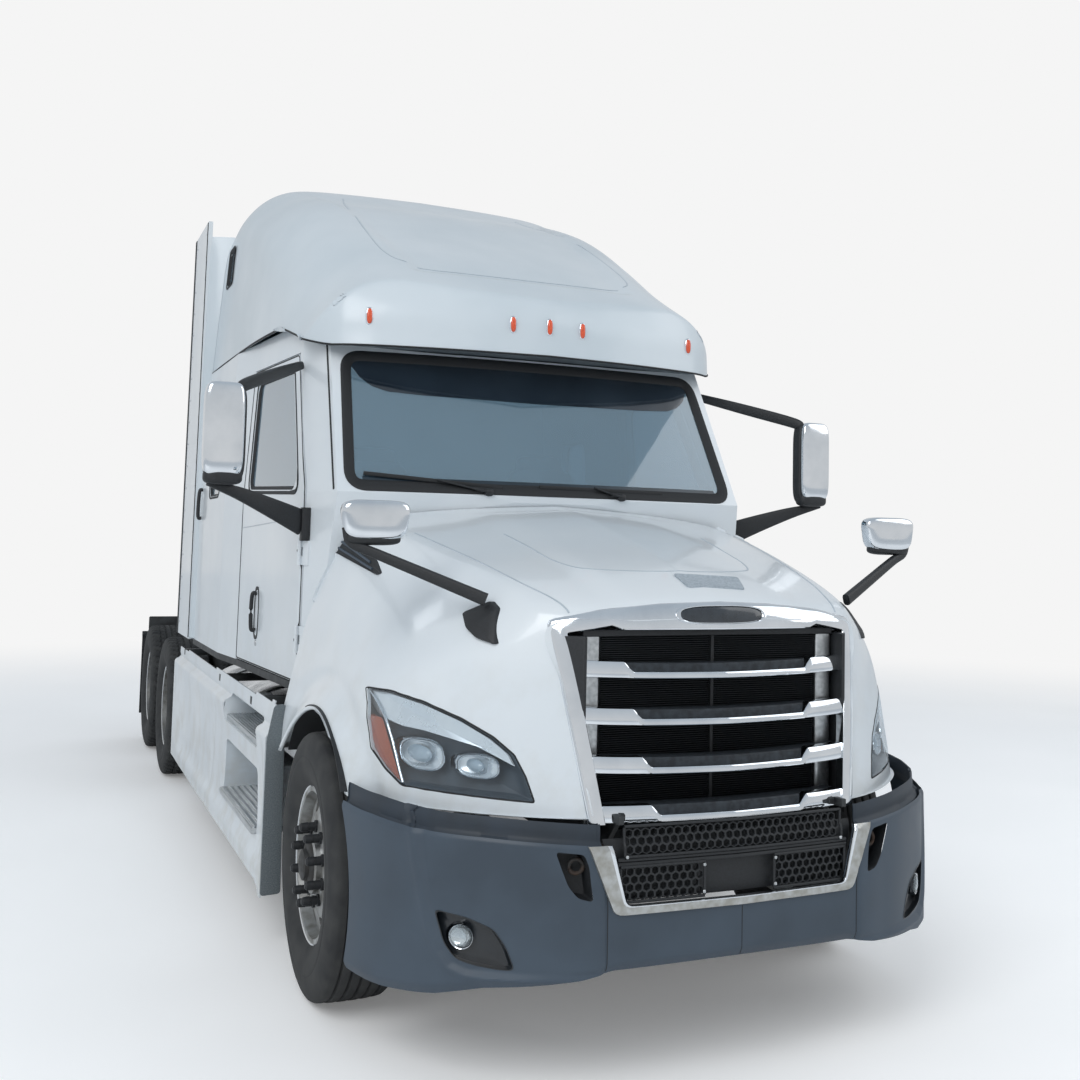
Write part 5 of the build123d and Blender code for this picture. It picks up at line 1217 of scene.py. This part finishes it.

# ================================================================ doors
# Each door has its own window rubber, a dark joint round its edge, a black pull handle in a dished recess, a lock
# barrel under it and, along its waist, a thin tube in a darker grey: the painted shade of a shallow pressed line.
DOOR_WINDOW = [(860, 1970), (1870, SIDE_RAYS), (1890, 2575), (1235, 2575)]
DOOR_EDGE = [(736, 1110), (1990, 1110), (1990, 2640), (1168, 2640), (736, 1962)]
HANDLE_PLACE = (1560, 1372)
skin, pane = cad_surface("door_left"), cad_surface("door_glass_left")
for side in ("left", "right"):
    window = frame_strip(close_outline(DOOR_WINDOW, 60), skin, 22, pane, -18, frame_section, 0, SIDE_RAYS)
    edge_line = close_outline(DOOR_EDGE, 30)
    joint = laid(skin, np.insert(grown(edge_line, -5), 0, 0.0, axis=1), 0, SIDE_RAYS, -1.5)
    rim = oval(HANDLE_PLACE, 46, 132, 3.2, 48)
    rings = [(1, -1), (1, 3), (0.93, 4), (0.86, 0), (0.8, -1.0), (0.5, -1.2), (0.01, -1.2)]
    dish = grid(np.stack([laid(skin, np.insert((rim - HANDLE_PLACE) * size + HANDLE_PLACE, 0, 0.0, axis=1), 0,
                               SIDE_RAYS, level) for size, level in rings]), round_columns=True)
    pull = laid(skin, [(0, 1572, 1470), (0, 1574, 1455), (0, 1574, 1300), (0, 1572, 1285)], 0, SIDE_RAYS)
    pull = beam(curve_through(pull + np.array([(2, 0, 0), (22, 0, 0), (22, 0, 0), (2, 0, 0)]), 20), 10, 10)
    waist = laid(skin, dense([(0, 790, 1842), (0, 1960, 1800)], 30), 0, SIDE_RAYS, -1.2)
    lock = egg(laid(skin, [(0, 1552, 1222)], 0, SIDE_RAYS)[0], (6, 15, 15), 2.2, 10, 20)
    # The waist line is a thin tube in a darker grey than the paint: painted shade of the pressed line.
    waist_line_shade = finish("pressed_line_painted_shade", "#AEB7BE", "#A3ADB5", 60, 0.4)
    for label, shapes, material, slot in (
            ("window_rubber", [window], seal_rubber, "flap_rubber"),
            ("edge_joint", [tube(joint, 4, 8, closed=True)], seal_rubber, "flap_rubber"),
            ("handle", [dish, pull], black_plastic, "cabin_plastic"),
            ("waist_line", [tube(waist, 3, 6)], waist_line_shade, "body_paint"),
            ("lock_barrel", [lock], brushed, "bright_trim")):
        piece(f"door_{label}_{side}", on_side(shapes, side), f"door_{side}", material)

# ================================================================ door mirrors
# Chromed shells over black housings, on two moulded arms: a tapered upper arm to the pillar's top and a deep blade to
# a plate on the pillar's foot. The mirror glass looks backward.
shells, housings, mirror_arms, mirror_glass = [], [], [], []
shells.append(egg((1478, 516, 2200), (82, 46, 200), 6.0, 36, 56))
housings += [egg((1470, 532, 2188), (85, 38, 208), 6.0, 30, 48), egg((1474, 520, SIDE_RAYS), (80, 45, 34), 3.4, 16, 40)]
mirror_glass += [bar(rounded([(1400, 2130), (1540, 2130), (1540, 2385), (1400, 2385)], 24), 1, 566, 571),
                 bar(rounded([(1400, 2010), (1540, 2010), (1540, 2112), (1400, 2112)], 24), 1, 566, 571)]
blade = curve_through([(1530, 522, 1972), (1400, 575, 1936), (1250, 643, 1880), (1098, 705, 1818)])
mirror_arms.append(beam(blade, 15, np.linspace(12, 58, len(blade)), 3.5))
upper = curve_through([(1412, 530, 2372), (1390, 560, 2400), (1220, 820, 2490), (1062, 1060, 2570)])
mirror_arms.append(beam(upper, 17, 20 + 8 * np.sin(np.linspace(0, np.pi, len(upper))), 3.0))
foot = rounded([(676, 1738), (722, 1738), (722, 1886), (676, 1886)], 8)
mirror_arms.append(bar(foot, 0, 1068, 1104))
piece("mirror_shells", both(shells), "chassis", chrome, stands_for=["cab_mirrors"])
piece("mirror_housings", both(housings), "chassis", black_plastic)
piece("mirror_arms", both(mirror_arms), "chassis", black_plastic, bevel=1.5)
silvered = finish("silvered_mirror_glass", "#C8D2D8", "#BFC9D0", 300, 0.03, 1.0)
piece("mirror_glass", both(mirror_glass), "chassis", silvered, bevel=1.5)

# ================================================================ hood mirrors, side louvres and scoop
# Small chromed heads with black undersides on thick black arms, each on a bent plate bolted to the hood's shoulder.
head = egg((1103, -598, 1816), (117, 40, 70), 4.2, 30, 48)
head = (head[0] + np.outer((1816 - head[0][:, 2]) * 0.16 * np.sign(1103 - head[0][:, 0]), (1, 0, 0)), head[1])
under = egg((1108, -592, 1752), (98, 36, 24), 3.2, 14, 36)
arm_path = curve_through([(1206, -590, 1790), (1186, -596, 1735), (1110, -622, 1702), (930, -708, 1624),
                          (755, -792, 1548)], 36)
arm = beam(arm_path, 15, np.linspace(13, 23, 36), 3.2)

# How far up the hood's surface is looked for from over it, and how far across from beside it.
FROM_ABOVE, FROM_BESIDE = (2200, 1200), (1500, 300)


def side_disc(outline, levels):
    """A disc on the hood's side, its outline given as (back, height)."""
    return disc(outline, hood_form, levels, None, *FROM_BESIDE, 0)


plate_line = rounded([(-700, 1500), (-776, 1544), (-832, 1520), (-908, 1402), (-842, 1420), (-772, 1452)], 12)
plate = side_disc(plate_line, [(1, -2), (1, 9), (0.96, 12), (0.6, 13), (0, 13)])
piece("hood_mirror_heads", both([head]), "hood", chrome, stands_for=["hood_mirrors"])
piece("hood_mirror_arms", both([under, arm, plate]), "hood", black_plastic)
hood_mirror_face = bar(rounded([(1012, 1765), (1196, 1765), (1196, 1872), (1012, 1872)], 22), 1, -562, -556)
piece("hood_mirror_glass", both([hood_mirror_face]), "hood", silvered, bevel=1.5)
LOUVRE = [(606, 1826), (612, 1706), (20, 1608), (-6, 1616), (96, 1664)]
louvre = side_disc(rounded(LOUVRE, 14), [(1, -3), (1, 4), (0.97, 5), (0.95, 1), (0.5, 1), (0, 1)])
piece("hood_louvres", both([louvre]), "hood", black_plastic)
slat_ends = [((590, 1790), (190, 1690)), ((595, 1758), (140, 1656)), ((598, 1728), (90, 1630))]
louvre_slats = []
for one, two in slat_ends:
    line = dense([(0, *one), (0, *two)], 20)
    louvre_slats.append(beam(meet(hood_form, line, 0, *FROM_BESIDE, level=3), 4, 5))
piece("hood_louvre_slats", both(louvre_slats), "hood", slate_plastic)
SCOOP = [(-50, -842), (225, -842), (172, -980), (-62, -980)]
scoop = disc(rounded(SCOOP, 14), hood_form, [(1, -3), (1, 5), (0.96, 6), (0.9, 4), (0.5, 4), (0, 4)], None,
             *FROM_ABOVE, 2)
piece("hood_scoop", [scoop], "hood", finish("grey_scoop_mesh", "#A9B3BB", "#8E99A2", 9, 0.5, bump_mm=0.4))

# ================================================================ pressed lines
# Thin beads in a darker grey, the painted shade of soft pressed lines in the mouldings: round the roof's let-in panel,
# round the hood's raised middle, and along the hood's shoulders from the windscreen's corners to the grille's.
# A darker grey than the paint: painted shade along each pressed line.
pressed = finish("pressed_edge_painted_shade", "#B3BDC5", "#A9B4BC", 80, 0.4)
ROOF_LINE = [(0, 884), (339, 905), (470, 918), (560, 950), (628, 1010), (660, 1110), (673, 1266), (668, 1665),
             (630, 2150), (558, 2550)]
MIDDLE_LINE = [(0, -797), (60, -796), (218, -764), (350, -700), (412, -560), (432, -370), (456, -146)]
SHOULDER_LINE = [(774, 38), (728, -220), (679, -454), (616, -753), (564, -929), (538, -1020)]
for name, body, form, line, reach in (
        ("roof_panel_line", "chassis", roof_form, ROOF_LINE, (4200, 2700)),
        ("hood_middle_line", "hood", hood_form, MIDDLE_LINE, FROM_ABOVE),
        ("hood_shoulder_line", "hood", hood_form, SHOULDER_LINE, FROM_ABOVE)):
    flat = curve_through(line, 90)
    path = meet(form, np.column_stack([flat, np.zeros(len(flat))]), 2, *reach, level=-0.5)
    piece(name, both([beam(path, 4.5, 2.2, 2.2, 10)]), body, pressed)

# ================================================================ tyres
# Radial truck tyres: a turned profile whose tread is cut by grooves. Steer tyres have five straight ribs; drive
# tyres have blocks, cut across at a slant between the ribs. One fine raised ring runs round each sidewall.
AXLE_HEIGHT = 500
TREAD_EDGE, TREAD_CROWN, TREAD_HALF, GROOVE_DEPTH = 492, 8, 114, 12
TYRE_SIDE = [(288, 103), (294, 116), (312, 128), (345, 141), (382, 146), (398, 146.6), (402, 145), (406, 146.2),
             (440, 143), (464, 137), (478, 131), (487, 125), (492, 118)]


def round_axle(out, radius, places, turn):
    """A skin about an axle at each (across, back) place: the radius times the cosine and sine of the turn."""
    return [grid(np.stack([across + out + 0 * turn, back + radius * np.cos(turn), AXLE_HEIGHT + radius * np.sin(turn)],
                          -1), round_rows=True) for across, back in places]


def turned(profile, places, sides=96):
    """A shape of revolution about an axle, from (radius, across) pairs."""
    profile = np.asarray(profile, float)
    return round_axle(profile[:, 1], profile[:, 0], places, circle_of(sides)[:, None])


def tyre(places, grooves, blocks, sides):
    """A tyre with its grooves at the given distances across. blocks is the number of cross cuts round it; each one
    slants with the distance across, and its depth fades at the shoulder's edge."""
    tread = [(TREAD_EDGE + TREAD_CROWN * np.sqrt(max(0.0, 1 - (out / 118)**2)), out)
             for out in np.linspace(TREAD_HALF, -TREAD_HALF, 39)]
    profile = np.array(TYRE_SIDE + tread + [(radius, -out) for radius, out in TYRE_SIDE[::-1]])
    turn = circle_of(sides)[:, None]
    out, radius = profile[None, :, 1], profile[None, :, 0]
    cut = np.zeros((sides, len(profile)))
    for groove in grooves:
        wave = 2.0 * np.sin(turn * 60) if blocks else 0.0
        cut = np.maximum(cut, step(-np.abs(out - groove - wave), -6.5, -3.5))
    if blocks:
        phase = (turn * blocks / (2 * np.pi) + np.abs(out) * 0.010) % 1
        across = step(-np.abs(phase - 0.5), -0.16, -0.10) * step(np.abs(out), 18, 26)
        cut = np.maximum(cut, across * step(-np.abs(out), -136, -128) * 0.8)
    tread_part = step(radius, 462, 488) * (np.abs(out) < 140)
    return round_axle(out, radius - GROOVE_DEPTH * cut * tread_part, places, turn)


AXLES = {"front": (0, "tyre"), "front_drive": (4953, "tyres"), "rear_drive": (6273, "tyres")}
STEER_GROOVES, DRIVE_GROOVES = (-84, -42, 0, 42, 84), (-66, -22, 22, 66)
for label, (back, tyre_word) in AXLES.items():
    if label == "front":
        rubber = tyre([(1040, back)], STEER_GROOVES, 0, 160)
    else:
        rubber = tyre([(1090, back), (750, back)], DRIVE_GROOVES, 58, 232)
    for side in ("left", "right"):
        piece(f"{label}_{tyre_word}_treaded_{side}", on_side(rubber, side), f"{label}_wheel_{side}", tyre_rubber,
              sharp=28, stands_for=[f"{label}_{tyre_word}_{side}"])

# ================================================================ wheel ends
# Forged aluminium wheels keep their turned discs with round hand holes. Each has a bright flange, a hub in oily
# near-black paint, its black partly painted shade, and ten long black covers over its nuts; the drive wheels' hubs
# stand out of a deep dish.
# Each hub: how far out its wheel lies, the disc's face and the covers' length from there, and the cap's profile.
HUBS = {
    "front": (1040, 100, 66, [(104, 99), (106, 106), (98, 122), (84, 131), (60, 136), (56, 150), (40, 156), (1, 157)]),
    "front_drive": (920, 12, 40, [(118, 14), (116, 60), (104, 120), (99, 160), (88, 174), (60, 178), (1, 178)])}
HUBS["rear_drive"] = HUBS["front_drive"]
NUT_COUNT, NUT_CIRCLE = 10, 142
# The hub's near-black is partly its oily paint and partly painted shade where the hub sits in the wheel.
hub_painted_shade = finish("oily_hub_paint_painted_shade", "#1A1C1D", "#2C2B29", 35, 0.42, rough_other=0.7, bump_mm=0.5)
for label, (back, _) in AXLES.items():
    across, face, length, cap = HUBS[label]
    hub = turned(cap, [(across, back)], 48)
    covers = []
    for number in range(NUT_COUNT):
        angle = (number + 0.5) * 2 * np.pi / NUT_COUNT
        y, z = back + NUT_CIRCLE * np.cos(angle), AXLE_HEIGHT + NUT_CIRCLE * np.sin(angle)
        line = [(across + face + length * share, y, z) for share in (-0.06, 0.1, 0.12, 0.5, 0.52, 0.9, 1.0)]
        covers.append(tube(line, np.array([23, 23, 17, 16, 18, 16, 10]), 12))
    flange = turned([(291, 104), (300, 106), (306, 110), (307, 115), (303, 118), (296, 117), (289, 112)],
                    [(across if label == "front" else across + 170, back)])
    for side in ("left", "right"):
        for name, shapes, material, slot in (("hub", hub, hub_painted_shade, "chassis_paint"),
                                             ("nut_covers", covers, black_plastic, "chassis_paint"),
                                             ("rim_flange", flange, polished, "polished_aluminium")):
            piece(f"{label}_{name}_{side}", on_side(shapes, side), f"{label}_wheel_{side}", material)

# ================================================================ side fairings and steps
# Painted panels from the steer tyre to the drive tyres. A ledge runs back at the height of the upper step, the panel
# is hollowed below it and flares out again along its foot. Two step wells are let into the front half.
# Each level: height, and how far out the panel lies there.
FAIRING_LEVELS = [(215, 1226), (250, 1237), (300, 1240), (335, 1239), (380, 1222), (480, 1213), (640, 1216),
                  (800, 1224), (872, 1234), (892, 1236), (906, 1228), (918, 1206), (960, 1200), (1010, 1197),
                  (1045, 1188)]
FAIRING_EDGE = [(604, 215), (700, 215), (760, 262), (4240, 262), (4290, 330), (4290, 960), (4200, 1000), (1000, 1030),
                (663, 1045), (604, 1000)]
STEP_WELLS = [[(880, 430), (1910, 430), (1830, 716), (880, 716)], [(880, 804), (1910, 804), (1860, 944), (880, 944)]]
backs, heights = np.meshgrid(np.linspace(596, 4298, 130), np.linspace(207, 1053, 70), indexing="ij")
out = through(FAIRING_LEVELS, heights)[..., 0]
flat_end = np.maximum(step(backs, 3600, 4100), step(-backs, -760, -640)) * (heights < 905)
out = out * (1 - flat_end) + 1236 * flat_end - 8 * step(backs, 4200, 4290)
out -= 5 * np.exp(-((backs - 2350 + 0.35 * (heights - 600)) / 40)**2) * step(-heights, -870, -800)
panel = grid(np.stack([out, backs, heights], -1))
for well in STEP_WELLS:
    panel = opened(panel, rounded(well, 40), (1, 2))
edge = rounded(FAIRING_EDGE, 30)
points, faces = panel
keep = -outline_reach(edge, points[:, 1], points[:, 2])
panel = (points, [face for face in faces if all(keep[corner] >= 0 for corner in face)])
wells = []
for well in STEP_WELLS:
    ring = rounded(well, 40)
    rows = []
    for across, size in ((1230, 1.0), (1222, 0.995), (1120, 0.99), (1012, 0.985)):
        flat = ring.mean(0) + (ring - ring.mean(0)) * size
        x = np.full(len(flat), across)
        if across > 1200:
            x = np.minimum(across, through(FAIRING_LEVELS, flat[:, 1])[:, 0] - 2)
        rows.append(np.column_stack([x, flat]))
    shape = grid(np.stack(rows), round_columns=True)
    count = len(ring)
    wells.append((shape[0], shape[1] + [list(range(3 * count, 4 * count))]))
piece("fairing_panels", both([panel]), "chassis", body_paint, wall=6, offset=-1,
      stands_for=["side_fairings"])
piece("step_wells", both(wells), "chassis", body_paint)
flange_grey = finish("sand_textured_edge_strip", "#6C7478", "#555D61", 5, 0.75, bump_mm=0.4)
strip_face = rounded([(1152, 236), (1237, 232), (1234, 880), (1206, 1030), (1160, 1036)], 16)
fairing_arms = [bar([(433, 955), (1200, 955), (1200, 995), (433, 995)], 1, back - 25, back + 25)
                for back in (1250, 2300, 3960)]
piece("fairing_arms", both(fairing_arms), "chassis", chassis_paint, bevel=3)
piece("fairing_edge_strips", both([bar(strip_face, 1, 600, 612)]), "chassis", flange_grey, bevel=2)

# Step treads: pressed aluminium planks. The upper one is ribbed; the lower one has rows of raised drain rings.
treads, grips = [], []
for low, outer in ((425, 1236), (800, 1212)):
    tread = rounded([(1010, 884), (outer, 884), (outer, 1906), (1010, 1906)], 14)
    treads.append(bar(tread, 2, low + 4, low + 30))
for out in np.arange(1036, 1205, 16):
    grips.append(bar([(out, 829), (out + 7, 829), (out + 5.5, 834), (out + 1.5, 834)], 1, 900, 1890))
ring_profile = np.array([(11, 0), (10, 5), (8.5, 6), (7, 4.5), (6, 0)])
turn = np.linspace(0, 2 * np.pi, 9)[:-1]
for out in np.arange(1035, 1225, 31):
    for back in np.arange(912, 1890, 31):
        rings = np.stack([np.column_stack([out + r * np.cos(turn), back + r * np.sin(turn), 0 * turn + 454.5 + rise])
                          for r, rise in ring_profile])
        grips.append(grid(rings, round_columns=True))
piece("step_treads", both(treads), "chassis", brushed, bevel=3, stands_for=["cab_steps"])
piece("step_grips", both(grips), "chassis", brushed)

# ================================================================ side extenders
# Painted panels behind the sleeper with a flexible rubber edge at the back, a dark joint in front and two columns of
# rivets over their brackets.
def extender_out(height):
    """How far out the extender's face lies: it leans in 14 mm over its 2700 mm."""
    return 1240.5 - (height - 1100) * 14 / 2700


extender_edge = bar([(1208, 1098), (1243, 1098), (1229, 3800), (1195, 3800)], 1, 4052, 4112)
extender_joint = tube([(extender_out(height), 3462, height) for height in np.linspace(1110, 3790, 12)], 5, 8)
rivets = []
for height in np.linspace(1180, 3720, 18):
    for back in (3500, 3985):
        rivets.append(egg((extender_out(height), back, height), (3.5, 6, 6), 2.0, 6, 8))
# A closing panel in the cap's paint, with the cap's painted shade, bridges from the sleeper's back corner out to each
# extender's front edge.
levels = np.linspace(1110, 3700, 90)
inner = np.column_stack([np.full(90, 1204.0), np.full(90, 3400.0), levels])
capped = levels > SEAM_HEIGHTS[-1]
inner[capped] = meet(roof_form, inner[capped], 0, 1400, 700, level=1)
inner[~capped, 0] = np.interp(levels[~capped], (1110, 1955, 2640, SEAM_HEIGHTS[-1]), (1210, 1208, 1178, 1170))
outer = np.column_stack([extender_out(levels) - 3, np.full(90, 3468.0), levels])
share = np.linspace(0, 1, 9)[:, None, None]
bow = np.sin(np.pi * share) * (7, -4, 0)
closing = grid(inner * (1 - share) + outer * share + bow)
piece("extender_closing_panels", both([closing]), "chassis", roof_shaded_paint, wall=3)
piece("extender_edges", both([extender_edge]), "chassis", seal_rubber, bevel=5)
piece("extender_joints", both([extender_joint]), "chassis", seal_rubber)
piece("extender_rivets", both(rivets), "chassis", brushed)

# Fuel tanks hang in two rubber-lined steel straps each.
TANK_OUT, TANK_HEIGHT = 800, 600
straps = []
turn = np.linspace(0, 2 * np.pi, 65)[:-1]
for back in (2450, 3500):
    rings = [np.column_stack([TANK_OUT + r * np.cos(turn), 0 * turn + back + off, TANK_HEIGHT + r * np.sin(turn)])
             for r, off in ((300.5, -38), (306, -36), (307, 0), (306, 36), (300.5, 38))]
    straps.append(grid(np.stack(rings), round_columns=True))
piece("tank_straps", both(straps), "chassis", brushed)

# ================================================================ seats and bunk
# Foam cushions in woven cloth on black pedestals, with stitched channels; a foam mattress on a grey laminate box.
woven = finish("woven_seat_cloth", "#3A3F45", "#2D3136", 2.2, 0.85, rough_other=0.95, bump_mm=0.3, detail=2.0)


def pad(middle, half_sizes, channels=0, power=5.0, lean=0.0, puff=9.0):
    """A cushion: a rounded pod whose wide faces dip along evenly spaced stitched channels, leaning back with height."""
    points, faces = egg((0, 0, 0), half_sizes, power, 34, 60)
    if channels:
        along = 2 if half_sizes[2] > half_sizes[1] else 1
        wave = np.abs(np.sin(points[:, along] / half_sizes[along] * np.pi * channels / 2))
        thin = 1 if along == 2 else 2
        push = (np.sqrt(wave) - 1) * puff * (np.abs(points[:, 0]) < half_sizes[0] * 0.78)
        points[:, thin] += np.sign(points[:, thin]) * push
    points[:, 1] += points[:, 2] * lean
    return points + middle, faces


SEAT_OUT = 500
# Each pad: its name, place back and up, half sizes, channels, squareness, lean and how full it is.
SEAT_PADS = [("cushion", (1567, 1492), (226, 232, 80), 5, 5.0, 0.0, 0.75),
             ("back", (1816, 1796), (222, 60, 385), 7, 5.0, 0.145, 0.75),
             ("headrest", (1884, 2186), (140, 46, 70), 0, 4.0, 0.1, 0.8)]
for side, word in ((1, "left"), (-1, "right")):
    for name, (back, up), half_sizes, channels, power, lean, full in SEAT_PADS:
        seat_pad = piece(f"seat_{name}_{word}", [pad((SEAT_OUT * side, back, up), half_sizes, channels, power, lean)],
                         "chassis", woven,
                         stands_for=["seats"] if (name, side) == ("cushion", 1) else [])
bellows = []
for low in range(6):
    half = 165 - 10 * (low % 2)
    outline = rounded([(-half, 1405), (half, 1405), (half, 1755), (-half, 1755)], 40)
    bellows.append(bar(outline + (SEAT_OUT, 0), 2, 1106 + low * 50, 1156 + low * 50))
piece("seat_pedestals", both(bellows), "chassis", black_plastic, bevel=8)
mattress = piece("bunk_mattress", [pad((0, 3003, 1576), (1070, 360, 84), 0, 7.0)], "chassis",
                 finish("quilted_mattress_cloth", "#8A8F94", "#777C82", 26, 0.9, bump_mm=1.2),
                 stands_for=["bunk"])
pillow = piece("bunk_pillow", [pad((700, 3010, 1690), (250, 170, 52), 0, 3.0)], "chassis",
               finish("white_pillow_cloth", "#DADDDF", "#CCD0D2", 30, 0.9, bump_mm=0.6))
box_outline = rounded([(-1048, 2684), (1048, 2684), (1048, 3368), (-1048, 3368)], 20)
lockers = [bar(rounded([(low, 1150), (low + 620, 1150), (low + 620, 1440), (low, 1440)], 14), 1, 2678, 2686)
           for low in (-1000, -310, 380)]
piece("bunk_box", [bar(box_outline, 2, 1104, 1490)], "chassis", cabin_plastic, bevel=8)
piece("bunk_locker_doors", lockers, "chassis", finish("grey_laminate", "#6F757A", "#666C71", 60, 0.5),
      bevel=3)

# ================================================================ rear lamps
# Round red lamps in rubber rings on a bracket over each mud flap.
TAIL_PLACES, TAIL_HEIGHT = (790, 940, 1090), 980
bracket = bar(rounded([(700, 920), (1180, 920), (1180, 1040), (700, 1040)], 14), 1, 6874, 6884)
rings = [egg((out, 6886, TAIL_HEIGHT), (54, 9, 54), 2.4, 14, 32) for out in TAIL_PLACES]
lenses = [egg((out, 6893, TAIL_HEIGHT), (44, 12, 44), 2.4, 14, 32) for out in TAIL_PLACES]
red_acrylic = finish("moulded_red_acrylic", "#8E1512", "#7A100E", 6, 0.2, bump_mm=0.3, Coat_Weight=0.6)
piece("tail_lamp_brackets", both([bracket]), "chassis", chassis_paint, bevel=3)
piece("tail_lamp_rings", both(rings), "chassis", seal_rubber)
piece("tail_lamp_lenses", both(lenses), "chassis", red_acrylic)
